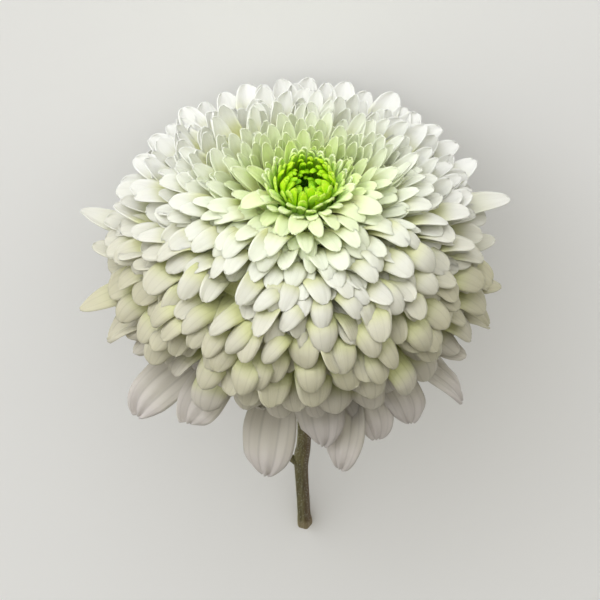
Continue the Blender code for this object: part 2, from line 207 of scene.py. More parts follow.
def new_tree(name, taken, settings, made):
    """A Geometry Nodes tree that takes one geometry and these settings and makes another, and its inputs."""
    tree = bpy.data.node_groups.new(name, "GeometryNodeTree")
    tree.interface.new_socket(taken, in_out="INPUT", socket_type="NodeSocketGeometry")
    for title, value in settings.items():
        kind = "NodeSocketInt" if isinstance(value, int) else "NodeSocketFloat"
        tree.interface.new_socket(title, in_out="INPUT", socket_type=kind).default_value = value
    tree.interface.new_socket(made, in_out="OUTPUT", socket_type="NodeSocketGeometry")
    return tree, tree.nodes.new("NodeGroupInput").outputs


def end_tree(tree, geometry, material):
    """Ends a tree with real meshes of this material."""
    geometry = add(tree, "GeometryNodeRealizeInstances", {"Geometry": geometry})
    geometry = add(tree, "GeometryNodeSetMaterial", {"Geometry": geometry, "Material": material})
    tree.links.new(geometry, tree.nodes.new("NodeGroupOutput").inputs[0])


def linear(hex_colour):
    """A colour written as an sRGB hex value, as the linear red, green, blue and alpha that shaders use."""
    parts = [int(hex_colour[place : place + 2], 16) / 255 for place in (1, 3, 5)]
    return (*[p / 12.92 if p <= 0.04045 else ((p + 0.055) / 1.055) ** 2.4 for p in parts], 1.0)


print("white of the petals in linear light:", [round(c, 3) for c in linear("#F1F1EA")[:3]])

# %% [markdown]
# ## The law of a petal
#
# Every petal of this flower is the same organ at another age: a narrow claw that grows from the receptacle, a
# blade that swells and arches, and a tip. A few petals could be modelled by hand and copied about, but the
# eye soon finds the copies. So one law draws them all, and its numbers change with the latitude of the tip on
# the dome and with the side. Petals at the rim are long and wide, petals at the crown short and narrow. On
# the far side they still stand closed, with their tips folded in over the heart. On the side that faces the
# camera they have opened, and their tips hook outwards.

# %% Sizes of the petals by their place
SEED = 12
GOLDEN_ANGLE = math.radians(137.508)

# The dome that the tips lie on
DOME_RADIUS = 60.5 * MM
DOME_HEIGHT = 38.0 * MM

# Reach and height where the outermost and the innermost petals grow, and the latitudes between which the
# roots move in
OUTER_ROOT = Vector((11.0, -25.5)) * MM
INNER_ROOT = Vector((2.0, -18.5)) * MM
ROOT_LATITUDES = (-12.0, 78.0)

# As shares of a petal's length: where its tip starts to curl, and how long the arms are that bend its midrib
CURL_START = 0.84
BEND_ARM = 0.36

# How far the claw swings out against the tip, and how much of a curl is allowed for in aiming the tip. Only
# petals below these latitudes are aimed so.
FLARE = 0.35
CURL_ALLOWED = 0.45
AIMED_LATITUDES = (55.0, 30.0)

# How far towards the camera petals lie, from -1 to 1, while they go from closed to opened and from young to
# old.
# The greying with age on that side is also painted shade.
OPENING_ZONE = (-0.6, 0.5)
AGEING_AND_SHADE_ZONE = (-0.4, 0.5)

# How hooked tips curl outwards, and how old petals look: from young to old between these latitudes, and on
# the far side, where they have stayed closed, only this share of it. The greying with age on the lower petals
# is also painted shade.
HOOK = math.radians(-60.0)
AGEING_AND_SHADE_LATITUDES = (62.0, -35.0)
FAR_SIDE_AGE_AND_SHADE = 0.15

# How much petals differ from one another: factors for width, hook, curl and arch, and in degrees how far the
# end's angle, the twist and the sway go either way. Below these latitudes the angles go up to twice as far.
WIDTH_RANGE = (0.86, 1.14)
HOOK_RANGE = (0.5, 0.9)
CURL_RANGE = (0.75, 1.1)
ARCH_RANGE = (0.85, 1.2)
ANGLE_SPREAD = 8.0
TWIST_SPREAD = 15.0
SWAY_SPREAD = 9.0
LOOSE_LATITUDES = (66.0, 40.0)

# A petal's serial number seeds its draws. The dome's start at 0, and each other group's at a number of its own.
HANGING_SERIAL = 900
UNDER_SERIAL = 960
HEART_SERIAL = 2000
BRACT_SERIAL = 3000
BELT_SERIAL = 5000
WHORL_SERIALS = 50

# Latitude in degrees, width in mm, the angle in degrees of the blade's end above the outward direction while
# closed and once opened, the curl of the tip in degrees, and the arch across the blade in radians
STATIONS = (
    (-50.0, 15.0, -62.0, -62.0, 8.0, 0.6),
    (-12.0, 11.5, -24.0, -50.0, 15.0, 0.65),
    (5.0, 10.2, -8.0, -42.0, 35.0, 0.75),
    (20.0, 9.2, 6.0, -32.0, 45.0, 0.9),
    (35.0, 8.2, 18.0, -20.0, 50.0, 1.0),
    (50.0, 7.2, 32.0, -8.0, 50.0, 1.05),
    (62.0, 6.4, 42.0, 2.0, 45.0, 1.1),
    (72.0, 5.6, 54.0, 10.0, 40.0, 1.1),
    (81.0, 4.6, 72.0, 18.0, 30.0, 1.1),
)


def blend(low, high, share):
    return low + (high - low) * share


def part_of(value, low, high):
    """How far a value is from low to high, kept between 0 and 1."""
    return max(0.0, min(1.0, (value - low) / (high - low)))


def station(latitude):
    """Width, end angle closed and opened, tip curl and arch at this latitude, in metres and radians."""
    for (low, *first), (high, *last) in zip(STATIONS, STATIONS[1:]):
        if latitude <= high:
            break
    share = part_of(latitude, low, high)
    width, *angles, arch = (blend(a, b, share) for a, b in zip(first, last))
    return width * MM, *map(math.radians, angles), arch


for latitude in (-12, 35, 75):
    print("latitude", latitude, "has petals", round(station(latitude)[0] / MM, 1), "mm wide")

# %% [markdown]
# ## Where each petal goes
#
# A petal's midrib is a Bezier curve. Its four points, the crosswise direction and a few numbers are all that
# one petal needs, and they are worked out here. Geometry Nodes turn them into a blade later.

# %% Draw up the plan of one petal


def directions(azimuth):
    """The outward and the crosswise direction at an azimuth round the flower's axis."""
    outward = Vector((math.cos(azimuth), math.sin(azimuth), 0.0))
    return outward, UP.cross(outward)


def bezier(points, share):
    while len(points) > 1:
        points = [a.lerp(b, share) for a, b in zip(points, points[1:])]
    return points[0]


def openness(azimuth):
    """How far petals at this azimuth have opened: 1 on the side towards the camera, 0 on the far side."""
    return part_of(-math.sin(azimuth), *OPENING_ZONE)


def petal(number, azimuth, reach, height, latitude, lean=0.0, root=None, **own):
    """The plan of one petal. Values in own stand in for those of its latitude."""
    draw = random.Random(SEED * 1000 + number)
    width, angle, angle_opened, curl, arch = station(latitude)
    width *= draw.uniform(*WIDTH_RANGE)
    loose = 1.0 + part_of(latitude, *LOOSE_LATITUDES)
    opened = openness(azimuth)
    angle = blend(angle, angle_opened, opened)
    angle += math.radians(draw.uniform(-ANGLE_SPREAD, ANGLE_SPREAD) * loose)
    hook = opened * draw.uniform(*HOOK_RANGE)
    curl = blend(curl, HOOK, hook) * draw.uniform(*CURL_RANGE)
    twist = math.radians(draw.uniform(-TWIST_SPREAD, TWIST_SPREAD) * loose)
    sway = math.radians(draw.uniform(-SWAY_SPREAD, SWAY_SPREAD) * loose)
    arch *= draw.uniform(*ARCH_RANGE)
    tone = draw.random()
    plan = {"width": width, "angle": angle, "curl": curl, "twist": twist, "sway": sway, "arch": arch}
    plan |= {"hook": hook} | own
    spot = root or blend(OUTER_ROOT, INNER_ROOT, part_of(latitude, *ROOT_LATITUDES))
    span = math.hypot(reach - spot.x, height - spot.y)
    rise = math.atan2(height - spot.y, reach - spot.x)
    start = rise + FLARE * (rise - plan["angle"])
    near, _ = directions(azimuth - lean)
    far, _ = directions(azimuth)
    final, across = directions(azimuth + plan["sway"])
    base = near * spot.x + UP * spot.y
    base_arm = base + (near * math.cos(start) + UP * math.sin(start)) * span * BEND_ARM
    end = (final * math.cos(plan["angle"]) + UP * math.sin(plan["angle"])) * span * BEND_ARM
    goal = far * reach + UP * height
    tip = goal
    half = plan["curl"] / 2 or 0.01

    # A curl pulls the tip away from its goal, so the tip is aimed past it, a little better each time
    for attempt in range(3):
        hinge = bezier([base, base_arm, tip - end, tip], CURL_START)
        fold = Matrix.Rotation(-half, 3, across) * (math.sin(half) / half)
        curled = hinge + fold @ (tip - hinge)
        tip = tip + (goal - curled) * CURL_ALLOWED * part_of(latitude, *AIMED_LATITUDES)
    # Greying with age, which is also painted shade on the lower petals and the side towards the camera
    side_age_and_shade = blend(FAR_SIDE_AGE_AND_SHADE, 1.0, part_of(-math.sin(azimuth), *AGEING_AND_SHADE_ZONE))
    return {
        "base": base,
        "base_arm": base_arm,
        "tip_arm": tip - end,
        "tip": tip,
        "hinge": bezier([base, base_arm, tip - end, tip], CURL_START),
        "across": across,
        "width": plan["width"],
        "curl": plan["curl"],
        "twist": plan["twist"],
        "arch": plan["arch"],
        "hook": plan["hook"],
        "span": span,
        "age": plan.get("age", 0.0),
        "taper": plan.get("taper", 0.0),
        "old": part_of(latitude, *AGEING_AND_SHADE_LATITUDES) * side_age_and_shade,
        "tone": tone,
        "serial": float(number),
    }


print("a petal's plan has", len(petal(0, 0.0, DOME_RADIUS, 0.0, 0.0)), "values")

# %% [markdown]
# ## The dome of petals
#
# Florets of the daisy family follow the golden angle: each grows 137.5 degrees round from the last and a
# little further in. Walking up the dome with that turn, and giving each petal its own share of the surface,
# fills the bloom without rows. Rings of copies would be simpler, but they show as rings. The tips that stand
# out of the outline in the photograph, and those below the heart, are listed one by one, and petals of the dome
# that would end too near to one of them make way. So do petals that would cross the heart. An underlayer of
# shorter petals fills the gaps.

# %% Plan the dome
LOWEST_LATITUDE = -20.0
HIGHEST_LATITUDE = 78.5

# The distance between neighbours as a share of their width
CROWDING = 0.84

# The underlayer's lowest and highest latitude, its crowding and its depth under the dome
UNDERLAYER = (8.0, 71.0, 1.0, 4.0 * MM)

# The least distance between a tip of the dome and one that is listed
ELBOW_ROOM = 4.6 * MM

# How far tips are off their places, round in degrees, and out and up in mm, and how far opened petals are
# pulled in
TURN_SPREAD = 5.0
OUT_SPREAD = 2.4
UP_SPREAD = 2.0
PULLED_IN = 1.2

# No midrib comes nearer to the axis than the first of these above the height that the second gives
HEART_ROOM = (11.5 * MM, 29.0 * MM)
MIDRIB = ("base", "base_arm", "tip_arm", "tip")

# Petals turn green between these reaches, above this latitude, slowly at first and up to this age
GREEN_REACH = (52.0 * MM, 12.0 * MM)
GREEN_FROM = 20.0
GREEN_POWER = 1.2
GREEN_AGE = 0.5

# Azimuth in degrees, reach and height in mm of the tips that stand out, and the width of their petals in mm
OUTSTANDING_TIPS = (
    (86.0, 61.0, 16.0, 12.0),
    (96.0, 59.5, 17.0, 12.0),
    (106.0, 60.0, 16.0, 12.0),
    (114.0, 59.5, 16.0, 12.0),
    (127.0, 61.0, 15.0, 12.0),
    (135.0, 59.0, 14.0, 12.0),
    (142.0, 60.0, 13.0, 12.0),
    (150.0, 60.0, 11.0, 12.0),
    (159.0, 60.0, 9.0, 12.0),
    (168.0, 70.0, 4.0, 9.5),
    (177.0, 64.5, 0.0, 9.5),
    (-167.0, 69.5, -8.0, 9.5),
    (-148.0, 59.5, -10.0, 9.5),
    (-31.0, 60.5, -12.0, 9.5),
    (-6.0, 64.0, -8.0, 9.5),
    (5.0, 62.0, 1.0, 9.5),
    (15.0, 69.0, 6.0, 9.5),
    (27.0, 63.0, 12.0, 10.5),
    (34.0, 61.5, 13.0, 12.0),
    (41.0, 61.0, 14.0, 12.0),
    (50.0, 60.0, 15.0, 12.0),
    (60.0, 62.5, 16.0, 12.0),
    (75.0, 61.0, 16.0, 12.0),
    (69.0, 65.5, -5.0, 9.5),
    (90.0, 60.5, -5.0, 9.5),
    (111.0, 65.5, -5.0, 9.5),
    (46.0, 58.5, 14.0, 11.0),
    (55.0, 59.5, 15.0, 11.0),
    (68.0, 60.0, 15.0, 11.0),
    (81.0, 58.5, 17.0, 11.0),
    (91.0, 58.5, 16.0, 11.0),
    (101.0, 58.0, 17.0, 11.0),
    (120.5, 59.5, 15.0, 11.0),
    (131.0, 58.5, 14.5, 11.0),
)

# The curl of their tips, and how tapered the broad ones among them are and the others
OUTSTANDING_CURL = 0.4
BROAD = 10.0
TAPERS = (0.5, 0.85)

# The spoons that face the camera, below the heart: azimuth, reach and height of the tip, width, and in
# degrees the angle of the end, the curl of the tip, how far the blade sways to one side and how it twists
SPOONS = (
    (-109.0, 44.4, 25.8, 7.0, -10.0, -50.0, -40.0, 0.0),
    (-97.0, 48.4, 22.8, 8.0, -15.0, -50.0, -35.0, 0.0),
    (-101.0, 55.3, 15.5, 8.5, -25.0, -50.0, -45.0, 0.0),
    (-113.0, 55.1, 15.8, 8.5, -30.0, -50.0, -40.0, 0.0),
    (-129.0, 55.4, 15.3, 8.5, -15.0, -50.0, -15.0, 0.0),
    (-120.0, 53.0, 18.4, 8.0, -20.0, -50.0, -35.0, 0.0),
    (-119.0, 60.5, 1.0, 11.0, -35.0, -50.0, -15.0, 0.0),
    (-119.0, 57.2, 12.4, 8.5, -20.0, -50.0, -10.0, 0.0),
    (-81.0, 53.4, 17.9, 10.5, -25.0, -50.0, 5.0, 0.0),
    (-82.0, 48.3, 22.9, 8.0, -15.0, -50.0, 0.0, 0.0),
    (-63.0, 44.2, 25.9, 7.0, 0.0, -50.0, 30.0, 0.0),
    (-68.0, 47.5, 23.6, 8.0, -15.0, -50.0, 15.0, 0.0),
    (-66.0, 56.3, 13.9, 9.0, -25.0, -50.0, 10.0, 35.0),
    (-53.0, 50.2, 21.2, 10.0, -15.0, -50.0, 20.0, 25.0),
    (-37.0, 51.7, 19.7, 9.0, -10.0, -50.0, 10.0, 25.0),
    (-39.0, 58.4, 9.8, 10.0, -15.0, -50.0, 10.0, 25.0),
    (-86.0, 59.5, 7.0, 10.5, -35.0, -50.0, 0.0, 0.0),
    (-65.0, 60.0, 5.0, 10.0, -35.0, -50.0, 5.0, 0.0),
    (-60.0, 59.0, 8.5, 8.5, -30.0, -50.0, 15.0, 0.0),
    (-102.0, 59.6, 6.7, 8.5, -40.0, -50.0, -10.0, 0.0),
    (-90.0, 44.4, 25.8, 7.0, 10.0, -50.0, -5.0, 0.0),
    (-90.0, 38.7, 29.2, 6.5, 30.0, -50.0, 0.0, 0.0),
    (-102.0, 38.3, 29.4, 7.0, 30.0, -50.0, -10.0, 0.0),
    (-137.0, 60.1, 4.2, 10.0, -30.0, -30.0, 0.0, 0.0),
    (-153.0, 59.6, -6.7, 9.5, -25.0, -30.0, 0.0, 0.0),
    (-33.0, 59.0, -8.4, 10.0, -30.0, -15.0, 0.0, 0.0),
)


def dome_places(latitude, highest, crowding, depth):
    """Azimuth, reach, height and latitude of tips this deep in the dome, on the golden angle."""
    places = []
    while latitude < highest:
        draw = random.Random(SEED * 500 + len(places))
        turn = math.radians(latitude)
        reach = (DOME_RADIUS - depth) * math.cos(turn)
        height = (DOME_HEIGHT - depth) * math.sin(turn)
        azimuth = len(places) * GOLDEN_ANGLE % math.tau
        azimuth += math.radians(draw.uniform(-TURN_SPREAD, TURN_SPREAD))
        out = (draw.uniform(-OUT_SPREAD, OUT_SPREAD) - PULLED_IN * openness(azimuth)) * MM
        up = draw.uniform(-UP_SPREAD, UP_SPREAD) * MM
        places.append([azimuth, reach + out, height + up, latitude, {}])
        room = (crowding * station(latitude)[0]) ** 2
        slope = math.hypot(DOME_RADIUS * math.sin(turn), DOME_HEIGHT * math.cos(turn))
        latitude += math.degrees(room / (math.tau * reach * slope))
    return places


def set_by_hand(degrees, reach, height, **own):
    """The place of a listed tip, with the latitude of the dome at its side."""
    latitude = math.degrees(math.atan2(height / DOME_HEIGHT, reach / DOME_RADIUS))
    return [math.radians(degrees), reach * MM, height * MM, latitude, own]


def tip_of(place):
    return directions(place[0])[0] * place[1] + UP * place[2]


chosen = []
for azimuth, reach, height, width in OUTSTANDING_TIPS:
    taper = TAPERS[0] if width > BROAD else TAPERS[1]
    own = {"width": width * MM, "curl": OUTSTANDING_CURL, "taper": taper, "twist": 0.0}
    chosen.append(set_by_hand(azimuth, reach, height, **own))
for azimuth, reach, height, width, *angles in SPOONS:
    own = dict(zip(("angle", "curl", "sway", "twist"), map(math.radians, angles)))
    chosen.append(set_by_hand(azimuth, reach, height, width=width * MM, hook=1.0, **own))
places = dome_places(LOWEST_LATITUDE, HIGHEST_LATITUDE, CROWDING, 0.0)
places = [p for p in places if min((tip_of(p) - tip_of(c)).length for c in chosen) > ELBOW_ROOM]
places += chosen + dome_places(*UNDERLAYER)
places.sort(key=lambda place: place[3])
dome = []
for number, (azimuth, reach, height, latitude, own) in enumerate(places):
    age = GREEN_AGE * part_of(reach, *GREEN_REACH) ** GREEN_POWER if latitude > GREEN_FROM else 0.0
    plan = petal(number, azimuth, reach, height, latitude, age=age, **own)
    midrib = [bezier([plan[key] for key in MIDRIB], share) for share in (0.5, 0.6, 0.7, 0.8, 0.9, 1.0)]
    if all(point.xy.length > HEART_ROOM[0] for point in midrib if point.z > HEART_ROOM[1]):
        dome.append(plan)
print("petals on the dome:", len(dome), "of", len(places))

# Shorter petals between the rim and the hanging whorl, where one would see into the bloom from the side:
# their lowest and highest latitude, crowding and depth under the dome
BELT = (-38.0, 4.0, 0.9, 5.0 * MM)
belt = [petal(BELT_SERIAL + number, *place[:4]) for number, place in enumerate(dome_places(*BELT))]
print("petals of the belt:", len(belt))

# %% [markdown]
# ## The hanging whorl
#
# The oldest petals are the lowest. They have opened furthest, hang round the rim and show their ribbed inner
# faces. They are few and large, so each is listed one by one: on the side towards the camera to the place of
# one in the photograph, and round the back, which it doesn't show, in the same way. A second whorl below them
# closes the underside. It is guessed, and follows a rule.

# %% Plan the hanging petals
# The lower a tip hangs, the lower the latitude whose bend it takes. All ends point down at the same angle.
HANGING_FROM = -12.0
HANGING_DROOP = 1.45
HANGING_END = math.radians(-55.0)

# Azimuth in degrees, reach, height and width in mm, and in degrees how far the blade sways to one side and
# how far the claw leans
HANGING_PETALS = (
    (-100.0, 58.5, -37.5, 17.0, 5.0, 0.0),
    (-82.0, 54.5, -26.0, 15.5, 0.0, 0.0),
    (-77.0, 58.0, -35.0, 14.0, -30.0, -24.0),
    (-64.0, 55.5, -29.0, 14.0, -15.0, 0.0),
    (-53.0, 57.5, -25.5, 15.0, -30.0, 0.0),
    (-36.0, 62.5, -26.5, 14.0, 5.0, 0.0),
    (-16.0, 61.0, -14.5, 14.0, 0.0, 0.0),
    (1.0, 58.0, -14.0, 14.0, 0.0, 0.0),
    (18.0, 59.0, -18.0, 14.0, 0.0, 0.0),
    (36.0, 57.0, -20.0, 14.0, 0.0, 0.0),
    (54.0, 56.0, -21.0, 14.0, 0.0, 0.0),
    (73.0, 60.0, -20.0, 14.5, 0.0, 0.0),
    (92.0, 57.5, -20.0, 14.0, 0.0, 0.0),
    (110.0, 60.0, -20.0, 14.5, 0.0, 0.0),
    (128.0, 56.0, -21.0, 14.0, 0.0, 0.0),
    (146.0, 58.0, -20.0, 14.0, 0.0, 0.0),
    (164.0, 59.0, -18.0, 14.0, 0.0, 0.0),
    (-176.0, 59.0, -15.0, 14.0, 0.0, 0.0),
    (-158.0, 63.0, -13.0, 15.0, 0.0, 0.0),
    (-141.0, 64.0, -29.5, 15.0, -5.0, 0.0),
    (-125.0, 59.0, -22.5, 16.0, -25.0, 0.0),
)

hanging = []
for number, (degrees, reach, height, width, sway, lean) in enumerate(HANGING_PETALS):
    latitude = HANGING_FROM + HANGING_DROOP * (height - HANGING_FROM)
    place = (HANGING_SERIAL + number, math.radians(degrees), reach * MM, height * MM, latitude)
    own = {"width": width * MM, "sway": math.radians(sway), "angle": HANGING_END, "taper": 1.0}
    hanging.append(petal(*place, lean=math.radians(lean), **own))

# The whorl that closes the underside: how many petals, where they grow, the ranges of their reach and height
# in mm, how far they are off their places as a share of the step round, their latitude and their own values
UNDER_WHORL = 24
UNDER_ROOT = Vector((11.5, -27.5)) * MM
UNDER_REACH = (43.0, 46.0)
UNDER_HEIGHT = (-22.0, -20.0)
UNDER_SPREAD = 0.15
UNDER_LATITUDE = -15.0
UNDER_OWN = {"width": 12.5 * MM, "angle": math.radians(4.0), "curl": 0.1, "hook": 0.0, "taper": 1.0}
for number in range(UNDER_WHORL):
    draw = random.Random(SEED * 600 + number)
    azimuth = math.tau * (number + draw.uniform(-UNDER_SPREAD, UNDER_SPREAD)) / UNDER_WHORL
    tip = draw.uniform(*UNDER_REACH) * MM, draw.uniform(*UNDER_HEIGHT) * MM
    hanging.append(petal(UNDER_SERIAL + number, azimuth, *tip, UNDER_LATITUDE, root=UNDER_ROOT, **UNDER_OWN))
print("hanging petals:", len(hanging))

# %% [markdown]
# ## The green heart
#
# In the middle the florets are still young. They are narrow straps that stand close together, are green with
# chlorophyll and bend in over a small dark pit. They could go on along the golden angle, but so close to the
# axis its turns bunch up, so they stand in whorls, each one half a step round from the last.

# %% Plan the florets of the heart
# The height in mm that the florets grow at, their latitude, the curl of their tips and their arch
HEART_ROOT = 20.0
HEART_LATITUDE = 76.0
HEART_CURL = math.radians(40.0)
HEART_ARCH = 1.3

# How far the florets that face the camera have opened: the turn of their ends, out and up in mm, and the
# reaches in mm between which they do
HEART_DROOP = math.radians(78.0)
HEART_OPENS = (3.2, -1.6)
HEART_OPENING = (6.0, 12.0)

# How far florets are off their places, as a share of the step round, out and up in mm and by the angle of the
# end in degrees, and the range of their widths
HEART_TURN_SPREAD = 0.34
HEART_OUT_SPREAD = 0.8
HEART_UP_SPREAD = 0.9
HEART_ANGLE_SPREAD = 16.0
HEART_WIDTH_RANGE = (0.85, 1.1)

# Count, reach of the roots, reach and height of the tips and width in mm, angle of the end in degrees, age
HEART_WHORLS = (
    (22, 11.0, 12.6, 36.6, 3.4, 74.0, 0.34),
    (20, 9.6, 10.8, 37.6, 3.1, 82.0, 0.46),
    (18, 8.4, 8.9, 38.0, 2.9, 94.0, 0.58),
    (16, 7.4, 7.1, 38.0, 2.7, 108.0, 0.69),
    (14, 6.6, 5.3, 37.4, 2.5, 124.0, 0.79),
    (11, 6.0, 3.6, 36.4, 2.2, 144.0, 0.88),
    (8, 4.6, 2.0, 35.2, 2.0, 146.0, 0.96),
)

heart = []
for whorl, (count, root, reach, height, width, degrees, age) in enumerate(HEART_WHORLS):
    for number in range(count):
        serial = HEART_SERIAL + WHORL_SERIALS * whorl + number
        draw = random.Random(SEED * 700 + serial)
        turn = number + 0.5 * whorl + draw.uniform(-HEART_TURN_SPREAD, HEART_TURN_SPREAD)
        azimuth = math.tau * turn / count
        opened = openness(azimuth) * part_of(reach, *HEART_OPENING)
        out = reach + HEART_OPENS[0] * opened + draw.uniform(-HEART_OUT_SPREAD, HEART_OUT_SPREAD)
        up = height + HEART_OPENS[1] * opened + draw.uniform(-HEART_UP_SPREAD, HEART_UP_SPREAD)
        own = {"width": width * draw.uniform(*HEART_WIDTH_RANGE) * MM, "curl": HEART_CURL, "arch": HEART_ARCH}
        own["angle"] = math.radians(degrees + draw.uniform(-HEART_ANGLE_SPREAD, HEART_ANGLE_SPREAD))
        own["angle"] -= HEART_DROOP * opened
        own |= {"age": age, "root": Vector((root, HEART_ROOT)) * MM}
        heart.append(petal(serial, azimuth, out * MM, up * MM, HEART_LATITUDE, **own))
print("florets in the heart:", len(heart))

# %% [markdown]
# ## From a plan to a blade
#
# The tree below makes every petal. A flat grid is instanced on each point of the plan and made real, and then
# each vertex is moved: along the Bezier midrib by its share of the length, round the hinge where the tip
# curls, and sideways on an arc whose size is the width there. Grooves and gentle waves are added across the
# blade. A float curve holds the outline, so another curve makes a pointed bract with the same tree. Python
# could move the vertices as well, but the tree does all the petals of a layer at once.

# %% Tree for petals
# How much closer the rows of a blade lie towards its tip, where it curls
ROWS_TO_TIP = 1.8

# The arch of a hooked tip in radians. It is below zero, because a hooked tip bulges towards the viewer.
HOOKED_BEND = -0.75

# From this share of its length the tip has round corners and a notch, how far the corners fall back, as a
# share of the length, and how far from the midrib the notch ends
TIP_FROM = 0.8
CORNER_FALL = 0.012
NOTCH_REACH = 0.45

# The shares of the length between which a hooked petal takes on its other arch
HOOK_ZONE = (0.55, 0.8)

# The least angle of a curl in radians, so that nothing is divided by 0
LEAST_CURL = 0.01

# The ground between the grooves, by the place from the middle of a blade to its edge
GROOVE_SHAPE = ((0.0, 1.0), (0.16, 0.6), (0.34, 0.0), (0.52, 0.7), (0.75, 1.0), (1.0, 0.7))

# How often a blade waves across and along, and how far its serial number moves the noise. The waves grow
# towards the tip, and towards the edge by the square of its distance from the midrib.
WAVES = (0.7, 2.6, 7.31)
WAVE_GROWTH = (1.6, 0.7)


def draw_curve(output, points):
    """Sets the points of the float curve that an output comes from."""
    mapping = output.node.mapping
    curve = mapping.curves[0]
    curve.points[0].location = points[0]
    curve.points[1].location = points[-1]
    for place in points[1:-1]:
        curve.points.new(*place)
    mapping.update()
    return output


def blades_on(tree, given):
    """A flat grid on each point of the plan, which remembers its place from edge to edge and along."""
    sizes = {"Size X": 2.0, "Size Y": 1.0}
    sizes |= {"Vertices X": given["Rows across"], "Vertices Y": given["Rows along"]}
    grid = add(tree, "GeometryNodeMeshGrid", sizes)
    spot = add(tree, "ShaderNodeSeparateXYZ", {0: add(tree, "GeometryNodeInputPosition")}).node
    along = calc(tree, "SUBTRACT", 0.5, spot.outputs["Y"], use_clamp=True)
    along = calc(tree, "POWER", along, ROWS_TO_TIP)
    along = calc(tree, "SUBTRACT", 1.0, along)
    grid = add(tree, STORE, {"Geometry": grid, "Name": "side", "Value": spot.outputs["X"]})
    grid = add(tree, STORE, {"Geometry": grid, "Name": "share", "Value": along})
    blades = add(tree, "GeometryNodeInstanceOnPoints", {"Points": given["Plan"], "Instance": grid})
    return add(tree, "GeometryNodeRealizeInstances", {"Geometry": blades})


def bent_midrib(tree, length, row, hinge, across, curl, twist):
    """The point of the midrib at this length, and the crosswise and the inward direction there."""
    # Three rounds of mixing make the Bezier curve and its direction
    while len(row) > 2:
        row = [mix(tree, length, a, b, "VECTOR") for a, b in zip(row, row[1:])]
    spine = mix(tree, length, *row, "VECTOR")
    heading = add(tree, VECTOR, {0: row[1], 1: row[0]}, operation="SUBTRACT")
    heading = add(tree, VECTOR, {0: heading}, operation="NORMALIZE")

    # The tip curls round the hinge
    curled = between(tree, length, CURL_START, 1.0)
    whole = calc(tree, "MULTIPLY", curled, curl)
    whole = calc(tree, "MULTIPLY", whole, -1.0)
    half = calc(tree, "MULTIPLY", whole, 0.5)
    angle = calc(tree, "ABSOLUTE", half)
    angle = calc(tree, "MAXIMUM", angle, LEAST_CURL)
    chord = calc(tree, "SINE", angle)
    chord = calc(tree, "DIVIDE", chord, angle)
    spine = mix(tree, chord, hinge, spine, "VECTOR")
    spine = add(tree, ROTATE, {"Vector": spine, "Center": hinge, "Axis": across, "Angle": half})
    heading = add(tree, ROTATE, {"Vector": heading, "Axis": across, "Angle": whole})
    turned = calc(tree, "MULTIPLY", twist, length)
    crosswise = add(tree, ROTATE, {"Vector": across, "Axis": heading, "Angle": turned})
    inward = add(tree, VECTOR, {0: heading, 1: crosswise}, operation="CROSS_PRODUCT")
    return spine, crosswise, add(tree, VECTOR, {0: inward}, operation="NORMALIZE")


def arc_across(tree, side, reach, bend):
    """How far a vertex lies beside and above the midrib, on an arc with this half width and this arch."""
    radius = calc(tree, "DIVIDE", reach, bend)
    bend = calc(tree, "MULTIPLY", bend, side)
    out = calc(tree, "SINE", bend)
    out = calc(tree, "MULTIPLY", out, radius)
    rise = calc(tree, "COSINE", bend)
    rise = calc(tree, "SUBTRACT", 1.0, rise)
    return out, calc(tree, "MULTIPLY", rise, radius)


